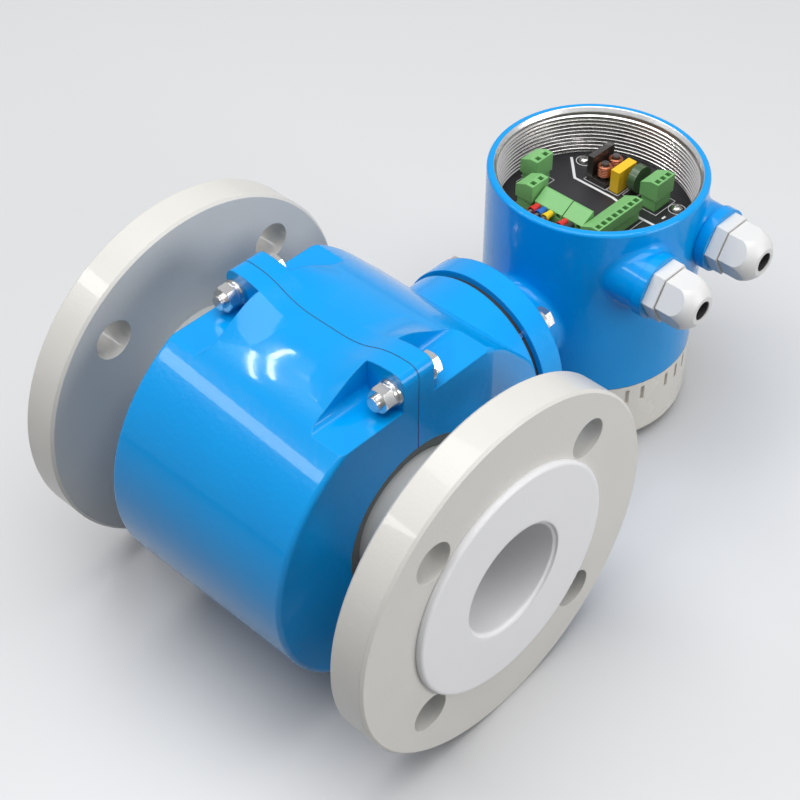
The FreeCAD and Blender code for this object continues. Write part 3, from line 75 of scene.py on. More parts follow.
def new_group(name, inputs, outputs):
    """An empty shader group with its sockets: name, type and, for inputs, a start value."""
    group = bpy.data.node_groups.new(name, "ShaderNodeTree")
    for label, kind, start in inputs:
        socket = group.interface.new_socket(label, in_out="INPUT", socket_type=kind)
        if start is not None:
            socket.default_value = start
    for label, kind in outputs:
        group.interface.new_socket(label, in_out="OUTPUT", socket_type=kind)
    return group, group.nodes.new("NodeGroupInput"), group.nodes.new("NodeGroupOutput")


def add_node(tree, kind, links=None, **settings):
    """A node with its settings, and its inputs set to a number or linked to a socket."""
    node = tree.nodes.new("ShaderNode" + kind)
    for key, setting in settings.items():
        setattr(node, key, setting)
    for key, source in (links or {}).items():
        if isinstance(source, bpy.types.NodeSocket):
            tree.links.new(source, node.inputs[key])
        else:
            node.inputs[key].default_value = source
    return node


def make_surface_group():
    """Slow and fine unevenness of a painted, moulded or cast surface."""
    group, into, out = new_group(
        "uneven_surface",
        [("Vector", "NodeSocketVector", None), ("Slow Scale", "NodeSocketFloat", 20.0),
         ("Fine Scale", "NodeSocketFloat", 900.0), ("Contrast", "NodeSocketFloat", 0.3)],
        [("Cloud", "NodeSocketFloat"), ("Grain", "NodeSocketFloat")])
    where = into.outputs["Vector"]
    slow = add_node(group, "TexNoise", {"Vector": where, "Scale": into.outputs["Slow Scale"],
                                        "Detail": 4.0, "Roughness": 0.55})
    fine = add_node(group, "TexNoise", {"Vector": where, "Scale": into.outputs["Fine Scale"],
                                        "Detail": 3.0, "Roughness": 0.6})
    centred = add_node(group, "Math", {0: slow.outputs["Fac"], 1: 0.5}, operation="SUBTRACT")
    cloud = add_node(group, "Math", {0: centred.outputs[0], 1: into.outputs["Contrast"], 2: 0.5},
                     operation="MULTIPLY_ADD")
    group.links.new(cloud.outputs[0], out.inputs["Cloud"])
    group.links.new(fine.outputs["Fac"], out.inputs["Grain"])
    return group


def make_turned_group():
    """Fine turning marks round the Z axis of the vector that comes in."""
    group, into, out = new_group(
        "turned_marks",
        [("Vector", "NodeSocketVector", None), ("Lines", "NodeSocketFloat", 2500.0)],
        [("Mark", "NodeSocketFloat"), ("Radius", "NodeSocketFloat")])
    parts = add_node(group, "SeparateXYZ", {"Vector": into.outputs["Vector"]})
    flat = add_node(group, "CombineXYZ", {"X": parts.outputs["X"], "Y": parts.outputs["Y"], "Z": 0.0})
    radius = add_node(group, "VectorMath", {0: flat.outputs[0]}, operation="LENGTH")
    along = add_node(group, "Math", {0: radius.outputs["Value"], 1: parts.outputs["Z"]}, operation="ADD")
    scaled = add_node(group, "Math", {0: along.outputs[0], 1: into.outputs["Lines"]}, operation="MULTIPLY")
    marks = add_node(group, "TexNoise", {"W": scaled.outputs[0], "Scale": 1.0, "Detail": 2.0},
                     noise_dimensions="1D")
    group.links.new(marks.outputs["Fac"], out.inputs["Mark"])
    group.links.new(radius.outputs["Value"], out.inputs["Radius"])
    return group


SURFACE = make_surface_group()
TURNED = make_turned_group()
CONTRAST = 0.6
COAT_ROUGHNESS = 0.04


# ---------------------------------------------------------------- materials

class Finish:
    """A material under construction: its tree, shader and object coordinate from a centre."""

    def __init__(self, name, centre=(0, 0, 0)):
        self.material = bpy.data.materials.new(name)
        self.material.use_nodes = True
        self.tree = self.material.node_tree
        self.shader = self.tree.nodes["Principled BSDF"]
        where = add_node(self.tree, "TexCoord")
        shifted = add_node(self.tree, "Mapping", {"Vector": where.outputs["Object"], "Location": centre},
                           vector_type="TEXTURE")
        self.vector = shifted.outputs["Vector"]

    def add(self, kind, links=None, **settings):
        """A node in this material's own tree."""
        return add_node(self.tree, kind, links, **settings)

    def group(self, group, **inputs):
        """A shared group fed with this material's coordinate; Slow_Scale names its input Slow Scale."""
        node = self.tree.nodes.new("ShaderNodeGroup")
        node.node_tree = group
        self.tree.links.new(self.vector, node.inputs["Vector"])
        for key, setting in inputs.items():
            node.inputs[key.replace("_", " ")].default_value = setting
        return node

    def colours(self, factor, low, high):
        """The colour between low and high that the factor picks."""
        mix = self.add("Mix", data_type="RGBA")
        self.tree.links.new(factor, mix.inputs["Factor"])
        mix.inputs["A"].default_value = (*low, 1)
        mix.inputs["B"].default_value = (*high, 1)
        return mix.outputs["Result"]

    def spread(self, factor, low, high):
        """The factor carried over to the range from low to high."""
        return self.add("MapRange", {"Value": factor, "To Min": low, "To Max": high}).outputs["Result"]

    def feed(self, socket, source):
        """Sets an input of the shader to a number or colour, or links it to a socket."""
        if isinstance(source, bpy.types.NodeSocket):
            self.tree.links.new(source, self.shader.inputs[socket])
        else:
            self.shader.inputs[socket].default_value = source

    def rounded(self, radius):
        """Normals that run round the corners, or None for sharp ones."""
        return self.add("Bevel", {"Radius": radius}, samples=6).outputs["Normal"] if radius else None

    def bump(self, height, distance, under=None):
        """Relief of up to the distance in metres, on top of the normals that are under it."""
        node = self.add("Bump", {"Height": height, "Distance": distance, "Strength": 1.0})
        if under is not None:
            self.tree.links.new(under, node.inputs["Normal"])
        self.feed("Normal", node.outputs["Normal"])


def uneven(name, low, high, roughness, bump, slow, fine, metallic=0.0, coat=0.0, specular=0.5, edge=0.0):
    """A painted or moulded finish whose colour, gloss and skin vary a little.

    Slow and fine are the scales of its clouds and its grain, and bump is the grain's height. The
    edge is the radius that the cast, moulded or painted corners look rounded to.
    """
    finish = Finish(name)
    surface = finish.group(SURFACE, Slow_Scale=slow, Fine_Scale=fine, Contrast=CONTRAST)
    finish.feed("Base Color", finish.colours(surface.outputs["Cloud"], low, high))
    finish.feed("Roughness", finish.spread(surface.outputs["Cloud"], *roughness))
    finish.feed("Metallic", metallic)
    finish.feed("Coat Weight", coat)
    finish.feed("Coat Roughness", COAT_ROUGHNESS)
    finish.feed("Specular IOR Level", specular)
    finish.bump(surface.outputs["Grain"], bump, under=finish.rounded(edge))
    return finish


def turned_metal(name, centre, low, high, roughness, lines, bump):
    """Bare metal with turning marks round an axis."""
    finish = Finish(name, centre)
    marks = finish.group(TURNED, Lines=lines)
    finish.feed("Base Color", finish.colours(marks.outputs["Mark"], low, high))
    finish.feed("Roughness", finish.spread(marks.outputs["Mark"], *roughness))
    finish.feed("Metallic", 1.0)
    finish.bump(marks.outputs["Mark"], bump)
    return finish


CONVERTER_AXIS = (0, CONVERTER_Y, 0)

BLUE_DEEP, BLUE_LIT = (0.0, 0.265, 0.70), (0.0, 0.335, 0.79)

ENAMEL = {"bump": 0.12 * MM, "slow": 35, "fine": 420, "coat": 0.3, "specular": 0.12, "edge": 0.9 * MM}

enamel = uneven("blue_enamel", BLUE_DEEP, BLUE_LIT, (0.16, 0.24), **ENAMEL)
flange_paint = uneven("flange_paint", (0.60, 0.585, 0.545), (0.68, 0.665, 0.625), (0.30, 0.42),
                      bump=0.08 * MM, slow=30, fine=600, coat=0.3, edge=0.5 * MM)
tube_paint = uneven("tube_paint", (0.50, 0.50, 0.48), (0.58, 0.58, 0.56), (0.32, 0.46), bump=0.08 * MM,
                    slow=30, fine=600, coat=0.2)
# Painted shade: a blue-black that stands in for the shade in the groove between the half shells.
painted_seam_shade = uneven("painted_seam_shade", (0.0, 0.012, 0.05), (0.0, 0.02, 0.08), (0.5, 0.65), bump=0.02 * MM, slow=60,
                   fine=900)
ring_gray = uneven("ring_gray", (0.15, 0.155, 0.14), (0.20, 0.205, 0.19), (0.4, 0.55),
                   bump=0.06 * MM, slow=40, fine=700, edge=0.4 * MM)
cover_enamel = uneven("cover_enamel", (0.70, 0.67, 0.60), (0.76, 0.73, 0.67), (0.22, 0.32), bump=0.06 * MM,
                      slow=40, fine=700, coat=0.6, edge=0.6 * MM)
liner = uneven("liner_ptfe", (0.78, 0.78, 0.79), (0.85, 0.85, 0.86), (0.34, 0.46), bump=0.05 * MM, slow=25,
               fine=500, edge=1.8 * MM)
nylon = uneven("nylon_white", (0.66, 0.66, 0.65), (0.72, 0.72, 0.71), (0.30, 0.42), bump=0.03 * MM, slow=60,
               fine=900, edge=0.4 * MM)
plug_green = uneven("plug_green", (0.15, 0.40, 0.13), (0.20, 0.48, 0.17), (0.38, 0.52), bump=0.04 * MM,
                    slow=90, fine=1400, edge=0.15 * MM)
board_black = uneven("board_black", (0.012, 0.012, 0.014), (0.022, 0.022, 0.025), (0.32, 0.45),
                     bump=0.03 * MM, slow=120, fine=1500)
board_green = uneven("board_green", (0.01, 0.09, 0.035), (0.015, 0.13, 0.05), (0.35, 0.5), bump=0.03 * MM,
                     slow=100, fine=1500)
rubber = uneven("rubber", (0.012, 0.012, 0.013), (0.025, 0.025, 0.026), (0.6, 0.75), bump=0.06 * MM, slow=60,
                fine=1200)
stainless = uneven("stainless", (0.60, 0.59, 0.57), (0.76, 0.75, 0.73), (0.16, 0.30),
                   bump=0.03 * MM, slow=150, fine=2500, metallic=1.0)
copper_wire = uneven("copper_wire", (0.36, 0.10, 0.045), (0.52, 0.17, 0.08), (0.22, 0.34), bump=0.02 * MM,
                     slow=200, fine=2500, metallic=0.8, coat=0.6)
soft_iron = uneven("soft_iron", (0.12, 0.12, 0.125), (0.2, 0.2, 0.205), (0.5, 0.65), bump=0.1 * MM, slow=40,
                   fine=700, metallic=0.8)
panel_gray = uneven("panel_gray", (0.05, 0.053, 0.06), (0.07, 0.073, 0.08), (0.45, 0.6), bump=0.04 * MM,
                    slow=80, fine=1500)
key_gray = uneven("key_gray", (0.30, 0.31, 0.33), (0.36, 0.37, 0.39), (0.5, 0.65), bump=0.03 * MM, slow=120,
                  fine=1800)
lcd_glass = uneven("lcd_glass", (0.17, 0.22, 0.11), (0.20, 0.26, 0.13), (0.10, 0.16),
                   bump=0.01 * MM, slow=50, fine=900, coat=1.0)
ferrite = uneven("choke_black", (0.018, 0.014, 0.012), (0.035, 0.028, 0.024), (0.22, 0.34), bump=0.05 * MM,
                 slow=150, fine=1600, coat=0.5)
capacitor_yellow = uneven("capacitor_yellow", (0.78, 0.46, 0.01), (0.86, 0.54, 0.02), (0.3, 0.42),
                          bump=0.03 * MM, slow=120, fine=1400)
varistor_green = uneven("varistor_green", (0.035, 0.075, 0.028), (0.055, 0.11, 0.04), (0.28, 0.4),
                        bump=0.1 * MM, slow=140, fine=700, coat=0.3)
lead_gray = uneven("lead_gray", (0.10, 0.10, 0.10), (0.15, 0.15, 0.15), (0.4, 0.5), bump=0.02 * MM, slow=150,
                   fine=1500)
silk_white = uneven("silk_white", (0.62, 0.63, 0.64), (0.74, 0.75, 0.76), (0.5, 0.6),
                    bump=0.01 * MM, slow=250, fine=2500)
FERRULE_COLOURS = {"red": ((0.55, 0.02, 0.02), (0.66, 0.035, 0.03)),
                   "blue": ((0.01, 0.10, 0.42), (0.015, 0.14, 0.52)),
                   "yellow": ((0.72, 0.50, 0.01), (0.82, 0.60, 0.02)),
                   "black": ((0.015, 0.015, 0.016), (0.03, 0.03, 0.031))}
ferrule_finish = {word: uneven("ferrule_" + word, *pair, (0.3, 0.42), bump=0.02 * MM, slow=200, fine=1500)
                  for word, pair in FERRULE_COLOURS.items()}


def make_glass():
    """Clear glass with a faint green."""
    finish = Finish("window_glass")
    finish.feed("Base Color", (0.96, 0.985, 0.975, 1))
    finish.feed("Roughness", 0.02)
    finish.feed("Transmission Weight", 1.0)
    finish.feed("IOR", 1.5)
    return finish


def make_housing_enamel():
    """Enamel outside; inside the terminal mouth the turned metal is bare."""
    bare_within = RIM_R + 0.05 * MM
    bare_above = BOARD_LOW.z - 12 * MM
    finish = Finish("housing_enamel", CONVERTER_AXIS)
    surface = finish.group(SURFACE, Slow_Scale=ENAMEL["slow"], Fine_Scale=ENAMEL["fine"], Contrast=CONTRAST)
    marks = finish.group(TURNED, Lines=1500.0)
    parts = finish.add("SeparateXYZ", {"Vector": finish.vector})
    within = finish.add("Math", {0: marks.outputs["Radius"], 1: bare_within}, operation="LESS_THAN")
    above = finish.add("Math", {0: parts.outputs["Z"], 1: bare_above}, operation="GREATER_THAN")
    bare = finish.add("Math", {0: within.outputs[0], 1: above.outputs[0]}, operation="MULTIPLY").outputs[0]
    paint = finish.colours(surface.outputs["Cloud"], BLUE_DEEP, BLUE_LIT)
    metal = finish.colours(marks.outputs["Mark"], (0.62, 0.61, 0.59), (0.78, 0.77, 0.75))
    mix = finish.add("Mix", {"Factor": bare}, data_type="RGBA")
    finish.tree.links.new(paint, mix.inputs["A"])
    finish.tree.links.new(metal, mix.inputs["B"])
    finish.feed("Base Color", mix.outputs["Result"])
    finish.feed("Metallic", bare)
    finish.feed("Roughness", finish.spread(bare, 0.2, 0.3))
    finish.feed("Coat Weight", finish.spread(bare, ENAMEL["coat"], 0.0))
    finish.feed("Coat Roughness", COAT_ROUGHNESS)
    finish.feed("Specular IOR Level", ENAMEL["specular"])
    finish.bump(surface.outputs["Grain"], ENAMEL["bump"], under=finish.rounded(ENAMEL["edge"]))
    return finish


window = make_glass()
housing_enamel = make_housing_enamel()
thread_metal = turned_metal("thread_metal", CONVERTER_AXIS, (0.60, 0.58, 0.56), (0.80, 0.78, 0.76),
                            (0.16, 0.28), lines=4000, bump=0.01 * MM)

NODE_FINISH = {
    enamel: ["lower_shell", "upper_shell"],
    housing_enamel: ["converter_housing"],
    flange_paint: ["inlet_flange", "outlet_flange"],
    cover_enamel: ["display_cover"],
    liner: ["ptfe_liner"],
    tube_paint: ["measuring_tube"],
    ring_gray: ["inlet_shell_ring", "outlet_shell_ring"],
    stainless: ["shell_bolts", "shell_flat_washers", "shell_spring_washers", "shell_nuts", "neck_bolts",
                "neck_washers", "front_electrode", "rear_electrode", "electrode_nuts", "board_screws"],
    rubber: ["neck_gasket", "window_seal", "cover_oring", "left_gland_seal", "right_gland_seal"],
    nylon: ["left_gland_body", "right_gland_body", "left_gland_nut", "right_gland_nut",
            "front_electrode_insulator", "rear_electrode_insulator"],
    copper_wire: ["upper_coil", "lower_coil", "choke_windings"],
    soft_iron: ["upper_pole", "lower_pole", "magnet_yoke"],
    plug_green: ["terminal_headers", "pulse_plug", "current_plug", "power_plug", "output_plug",
                 "signal_terminal", "coil_terminal"],
    board_black: ["terminal_board"],
    board_green: ["display_board", "main_board"],
    panel_gray: ["display_panel"],
    key_gray: ["display_key_1", "display_key_2", "display_key_3", "display_key_4"],
    lcd_glass: ["lcd_module"],
    ferrite: ["choke_core"],
    capacitor_yellow: ["film_capacitor"],
    varistor_green: ["varistor"],
    lead_gray: ["signal_leads", "coil_leads"],
    ferrule_finish["red"]: ["lead_ferrules"],
    window: ["window_glass"],
}


def dress_nodes():
    """Gives every solid its finish, on all its faces."""
    for finish, names in NODE_FINISH.items():
        for name in names:
            mesh = NODES[name].data
            mesh.materials.clear()
            mesh.materials.append(finish.material)
            mesh.polygons.foreach_set("material_index", [0] * len(mesh.polygons))


# ---------------------------------------------------------------- making pieces

X_AXIS, Y_AXIS, Z_AXIS = (Vector(axis) for axis in ((1, 0, 0), (0, 1, 0), (0, 0, 1)))


def make_piece(name, bm, finish, smooth=None):
    """An object on the meter's body from a bmesh whose vertices are already in place.

    Smooth is the angle in degrees below which its edges are shaded round.
    """
    mesh = bpy.data.meshes.new(name)
    bm.normal_update()
    bm.to_mesh(mesh)
    bm.free()
    if smooth is not None:
        mesh.shade_smooth()
        mesh.set_sharp_from_angle(angle=math.radians(smooth))
    mesh.materials.append(finish.material)
    piece = bpy.data.objects.new(name, mesh)
    bpy.context.scene.collection.objects.link(piece)
    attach(piece, "meter")
    return piece


def loop_of(bm, points):
    """An open chain of edges through the points."""
    verts = [bm.verts.new(point) for point in points]
    return verts, [bm.edges.new(pair) for pair in zip(verts, verts[1:])]


def turned(profile, axis, steps, closed=False):
    """A bmesh turned full round an axis through the origin, from (radius, distance along) points."""
    side = Vector((0, 1, 0)) if axis == X_AXIS else Vector((1, 0, 0))
    bm = bmesh.new()
    verts, edges = loop_of(bm, [side * reach + axis * along for reach, along in profile])
    if closed:
        edges.append(bm.edges.new((verts[-1], verts[0])))
    bmesh.ops.spin(bm, geom=verts + edges, cent=(0, 0, 0), axis=axis, dvec=(0, 0, 0), angle=2 * math.pi,
                   steps=steps, use_merge=True)
    bmesh.ops.remove_doubles(bm, verts=bm.verts, dist=WELD)
    bmesh.ops.recalc_face_normals(bm, faces=bm.faces)
    return bm


def add_terminal_thread():
    """Female thread that lines the terminal mouth: the whole profile swept once round, one pitch up."""
    pitch, turns, steps = 2.0 * MM, 15, 180
    depth, off_wall, plain_mouth = 0.75 * MM, 0.02 * MM, 4.5 * MM
    crest, root = THREAD_R - depth, THREAD_R - off_wall
    flank_start, crest_start, crest_end = 0.30 * pitch, 0.62 * pitch, 0.80 * pitch
    bottom = HOUSING_TOP - plain_mouth - turns * pitch
    points = [(root, 0, bottom)]
    for number in range(turns):
        z = bottom + number * pitch
        points += [(root, 0, z + flank_start), (crest, 0, z + crest_start)]
        points += [(crest, 0, z + crest_end), (root, 0, z + pitch)]
    bm = bmesh.new()
    verts, edges = loop_of(bm, points)
    bmesh.ops.spin(bm, geom=verts + edges, cent=(0, 0, 0), axis=Z_AXIS, dvec=(0, 0, pitch / steps),
                   angle=2 * math.pi, steps=steps, use_merge=False)
    bmesh.ops.remove_doubles(bm, verts=bm.verts, dist=10 * WELD)
    bmesh.ops.translate(bm, verts=bm.verts, vec=(0, CONVERTER_Y, 0))
    bmesh.ops.recalc_face_normals(bm, faces=bm.faces)
    outward = [face for face in bm.faces
               if (face.calc_center_median() - Vector((0, CONVERTER_Y, 0))).xy.dot(face.normal.xy) > 0]
    if len(outward) > len(bm.faces) / 2:
        bmesh.ops.reverse_faces(bm, faces=bm.faces)
    make_piece("terminal_thread", bm, thread_metal, smooth=40)


def add_copper_windings():
    """Enamelled wire wound in two layers on both legs of the choke."""
    low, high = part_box("choke_windings")
    wire, wire_sides, turn_steps = 0.42 * MM, 8, 20
    layer_step = 1.8 * wire
    outermost = (high.x - low.x) / 2 - wire
    rise = high.z - low.z - 2 * wire
    turns = int(rise / (2 * wire))
    upright = Matrix.Rotation(math.radians(90), 3, "X")
    bm = bmesh.new()
    for middle in (low.y + outermost + wire, high.y - outermost - wire):
        for layer in (0, 1):
            before = set(bm.verts)
            section = bmesh.ops.create_circle(bm, cap_ends=False, segments=wire_sides, radius=wire)["verts"]
            bmesh.ops.rotate(bm, verts=section, cent=(0, 0, 0), matrix=upright)
            bmesh.ops.translate(bm, verts=section, vec=(outermost - layer * layer_step, 0, 0))
            edges = list({edge for vert in section for edge in vert.link_edges})
            bmesh.ops.spin(bm, geom=section + edges, cent=(0, 0, 0), axis=Z_AXIS,
                           dvec=(0, 0, rise / (turns * turn_steps)), angle=2 * math.pi * turns,
                           steps=turns * turn_steps, use_merge=False)
            strand = [vert for vert in bm.verts if vert not in before]
            bmesh.ops.translate(bm, verts=strand, vec=((low.x + high.x) / 2, middle, low.z + wire))
    bmesh.ops.recalc_face_normals(bm, faces=bm.faces)
    piece = make_piece("copper_turns", bm, copper_wire, smooth=50)
    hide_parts("choke_windings")


def add_ferrules():
    """Coloured sleeves on the leads, open towards the lead, one piece for each."""
    low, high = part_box("lead_ferrules")
    radius, level = (high.z - low.z) / 2, (high.z + low.z) / 2
    first, last = low.x + radius, high.x - radius
    sleeves = (("red", first), ("blue", first + TERMINAL_PITCH), ("yellow", first + 2 * TERMINAL_PITCH),
               ("red", last - COIL_TERMINAL_PITCH), ("black", last))
    bore, wall = 0.95 * MM, 0.35 * MM
    inside_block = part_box("signal_terminal")[0].y - 0.1 * MM
    profile = [(bore, inside_block), (radius * 0.82, inside_block), (radius * 0.88, low.y + 2.4 * MM),
               (radius, low.y + 1.2 * MM), (radius, low.y + 0.1 * MM), (radius - wall, low.y),
               (radius - wall, low.y + 1.3 * MM), (bore, low.y + 2.0 * MM)]
    for number, (word, x) in enumerate(sleeves, start=1):
        bm = turned(profile, Y_AXIS, steps=28, closed=True)
        bmesh.ops.translate(bm, verts=bm.verts, vec=(x, 0, level))
        piece = make_piece(f"ferrule_{number}", bm, ferrule_finish[word], smooth=40)
        if number == 1:
            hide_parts("lead_ferrules")


def flat_strip(bm, points, width):
    """A flat strip along the points, mitred where it bends."""
    half, longest_mitre = width / 2, 0.5
    places = [Vector(point) for point in points]
    rails = []
    for here, place in enumerate(places):
        before = (place - places[here - 1]).normalized() if here else (places[1] - place).normalized()
        after = (places[here + 1] - place).normalized() if here + 1 < len(places) else before
        along = (before + after).normalized()
        side = Vector((-along.y, along.x)) * half / max(along.dot(after), longest_mitre)
        rails.append([bm.verts.new((*(place + side), 0)), bm.verts.new((*(place - side), 0))])
    for first, second in zip(rails, rails[1:]):
        bm.faces.new((first[0], first[1], second[1], second[0]))


def screw_places():
    """(x, y) of the four board screws, seen from the converter's axis."""
    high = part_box("board_screws")[1]
    reach_x, reach_y = high.x - SCREW_HEAD_R, high.y - CONVERTER_Y - SCREW_HEAD_R
    return [(side * reach_x, way * reach_y) for side in (-1, 1) for way in (-1, 1)]


# In millimetres from the converter's axis: the dividing line's corners, the clear edge inside each
# outline, and the short marks' place, width and height.
DIVIDING_LINE = ((-33.2, 23.6), (-21.8, 12.1), (0.5, 12.3), (17.3, 8.9), (27.4, 9.1))
OUTLINE_MARGINS = {"power_plug": 1.2, "output_plug": 1.0, "pulse_plug": 1.0, "current_plug": 1.0,
                   "choke_core": 0.8, "film_capacitor": 0.9, "varistor": 0.9}
SHORT_MARKS = ((-14.5, -10.5, 2.6, 1.2), (27.5, 8.5, 0.9, 2.2), (26.5, 16.5, 1.0, 2.4),
               (-40.5, -2.5, 0.8, 2.6))


def add_board_print():
    """White print on the terminal board: the dividing line, outlines, rings and short marks."""
    line_width, outline_width, ring_width = 1.3 * MM, 0.25 * MM, 0.3 * MM
    ring_r, ring_step = 3.9 * MM, 12
    thickness, top = 0.06 * MM, BOARD_TOP + 0.09 * MM
    bm = bmesh.new()
    flat_strip(bm, [(x * MM, y * MM) for x, y in DIVIDING_LINE], line_width)
    for name, margin in OUTLINE_MARGINS.items():
        low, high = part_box(name)
        left, right = low.x - margin * MM, high.x + margin * MM
        near, far = low.y - CONVERTER_Y - margin * MM, high.y - CONVERTER_Y + margin * MM
        corners = [(left, near), (right, near), (right, far), (left, far)]
        for first, second in zip(corners, corners[1:] + corners[:1]):
            flat_strip(bm, [first, second], outline_width)
    for x, y in screw_places():
        turns = [math.radians(angle) for angle in range(0, 361, ring_step)]
        ring = [(x + ring_r * math.cos(turn), y + ring_r * math.sin(turn)) for turn in turns]
        flat_strip(bm, ring, ring_width)
    for x, y, width, height in SHORT_MARKS:
        flat_strip(bm, [(x * MM, (y - height / 2) * MM), (x * MM, (y + height / 2) * MM)], width * MM)
    bm.normal_update()
    bmesh.ops.recalc_face_normals(bm, faces=bm.faces)
    bmesh.ops.solidify(bm, geom=bm.faces, thickness=thickness)
    bmesh.ops.recalc_face_normals(bm, faces=bm.faces)
    highest = max(vert.co.z for vert in bm.verts)
    bmesh.ops.translate(bm, verts=bm.verts, vec=(0, CONVERTER_Y, top - highest))
    make_piece("board_print", bm, silk_white)


def add_screw_recesses():
    """Pan heads with a cross recess for the board's screws."""
    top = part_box("board_screws")[1].z
    profile = [(0, BOARD_TOP), (SCREW_HEAD_R, BOARD_TOP), (SCREW_HEAD_R, BOARD_TOP + 0.7 * MM),
               (SCREW_HEAD_R * 0.9, BOARD_TOP + 1.3 * MM), (SCREW_HEAD_R * 0.68, top - 0.15 * MM),
               (SCREW_HEAD_R * 0.4, top), (0, top)]
    blade_size = (3.0 * MM, 0.62 * MM, 1.8 * MM)
    blade_z = top + 0.1 * MM
    bm = bmesh.new()
    for x, y in screw_places():
        body = scratch_object("head_form", turned(profile, Z_AXIS, steps=32))
        tightened = math.copysign(25, x)
        for angle in (0, 90):
            blade = bmesh.new()
            bmesh.ops.create_cube(blade, size=1.0)
            bmesh.ops.scale(blade, verts=blade.verts, vec=blade_size)
            bmesh.ops.rotate(blade, verts=blade.verts, cent=(0, 0, 0),
                             matrix=Matrix.Rotation(math.radians(angle + tightened), 3, "Z"))
            bmesh.ops.translate(blade, verts=blade.verts, vec=(0, 0, blade_z))
            cut_away(body, scratch_object("blade_form", blade))
        mesh = bpy.data.meshes.new_from_object(body)
        mesh.transform(Matrix.Translation((x, CONVERTER_Y + y, 0)))
        bm.from_mesh(mesh)
        bpy.data.objects.remove(body)
    piece = make_piece("screw_heads", bm, stainless, smooth=35)
    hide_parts("board_screws")


def scratch_object(name, bm):
    """A passing object that a cut works on."""
    mesh = bpy.data.meshes.new(name)
    bm.to_mesh(mesh)
    bm.free()
    item = bpy.data.objects.new(name, mesh)
    bpy.context.scene.collection.objects.link(item)
    return item


def cut_away(body, tool):
    """Cuts the tool's solid out of the body's mesh and removes the tool."""
    cut = body.modifiers.new("cut", "BOOLEAN")
    cut.operation, cut.object, cut.solver = "DIFFERENCE", tool, "EXACT"
    bpy.context.view_layer.update()
    shape = bpy.data.meshes.new_from_object(body.evaluated_get(bpy.context.evaluated_depsgraph_get()))
    body.modifiers.clear()
    body.data = shape
    bpy.data.objects.remove(tool)


def add_stud_threads():
    """Thread on the clamp bolts' ends, past the nuts."""
    low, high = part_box("shell_bolts")
    pitch, radius, head_flats = 1.0 * MM, 3.0 * MM, 10.0 * MM
    crest, root, tip = radius + 0.10 * MM, radius - 0.02 * MM, radius - 0.3 * MM
    x, z = high.x - head_flats / math.sqrt(3), high.z - head_flats / 2
    inside_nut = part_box("shell_nuts")[0].y + 0.5 * MM
    y = low.y + 0.1 * MM
    profile = [(tip, y)]
    while y < inside_nut:
        profile += [(crest, y + pitch * 0.45), (root, y + pitch)]
        y += pitch
    for number, (side, way) in enumerate(((1, 1), (-1, 1), (1, -1), (-1, -1)), start=1):
        bm = turned(profile, Y_AXIS, steps=28)
        bmesh.ops.translate(bm, verts=bm.verts, vec=(side * x, 0, way * z))
        make_piece(f"stud_thread_{number}", bm, stainless, smooth=30)


def add_joint_shade_skin():
    """Painted shade of the groove between the two half shells, as a thin dark skin over their meeting edges.

    Faces that lie in the joint itself, or that something stands close in front of, have no skin.
    """
    half_width, stand = 0.17 * MM, 0.04 * MM
    look_from, skin, joint_face = 5 * stand, 0.6 * stand, 0.9
    whole = bmesh.new()
    for name in ("lower_shell", "upper_shell"):
        whole.from_mesh(NODES[name].data)
    bmesh.ops.remove_doubles(whole, verts=whole.verts, dist=2 * WELD)
    walls = BVHTree.FromBMesh(whole)
    for side in (-1, 1):
        bmesh.ops.bisect_plane(whole, geom=whole.verts[:] + whole.edges[:] + whole.faces[:],
                               plane_co=(0, side * half_width, 0), plane_no=(0, side, 0), clear_outer=True)
    whole.normal_update()
    hidden = []
    for face in whole.faces:
        middle = face.calc_center_median()
        blocked = walls.ray_cast(middle + face.normal * look_from, face.normal)[0] is not None
        if abs(face.normal.y) > joint_face or blocked:
            hidden.append(face)
    bmesh.ops.delete(whole, geom=hidden, context="FACES")
    for vert in whole.verts:
        vert.co += vert.normal * stand
    bmesh.ops.solidify(whole, geom=whole.faces, thickness=skin)
    make_piece("painted_joint_shade", whole, painted_seam_shade, smooth=40)


def add_seal_lips():
    """The cable seals' lips, which line the mouths of the gland nuts."""
    inner, outer, chamfer = 4.25 * MM, 4.57 * MM, (0.3 * MM, 0.12 * MM)
    for side in ("left", "right"):
        seal_low, seal_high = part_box(side + "_gland_seal")
        nut_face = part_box(side + "_gland_nut")[1].x
        back, lip = seal_high.x + 0.02 * MM, nut_face - 0.5 * MM
        profile = [(inner, back), (inner, lip - chamfer[0]), (inner + chamfer[1], lip), (outer, lip),
                   (outer, back)]
        bm = turned(profile, X_AXIS, steps=48, closed=True)
        bmesh.ops.translate(bm, verts=bm.verts, vec=(0, (seal_low.y + seal_high.y) / 2,
                                                     (seal_low.z + seal_high.z) / 2))
        make_piece(side + "_seal_lip", bm, rubber, smooth=40)


# ---------------------------------------------------------------- floor, light and camera

FLOOR_REACH = 4.0
FLOOR_BOUNCE = (0.22, 0.22, 0.22, 1)
WORLD_LIGHT, WORLD_SEEN = 0.13, 0.7


def resting_plane():
    """(point, normal) of the plane that both flange rims and the cover's lower edge rest on."""
    rounding = 3 * MM
    across = COVER_HIGH.y - rounding
    down = -(COVER_LOW.z + rounding)
    tilt = math.asin((FLANGE_R - rounding) / math.hypot(across, down)) - math.atan2(down, across)
    normal = Vector((0, -math.sin(tilt), math.cos(tilt)))
    return -FLANGE_R * normal, normal


def seen_directly(tree, rays):
    """1 where the camera sees the surface, straight, in a gloss or through glass."""
    looks = add_node(tree, "Math", {0: rays.outputs["Is Camera Ray"], 1: rays.outputs["Is Glossy Ray"]},
                     operation="MAXIMUM")
    looks = add_node(tree, "Math", {0: looks.outputs[0], 1: rays.outputs["Is Transmission Ray"]},
                     operation="MAXIMUM")
    return looks.outputs[0]


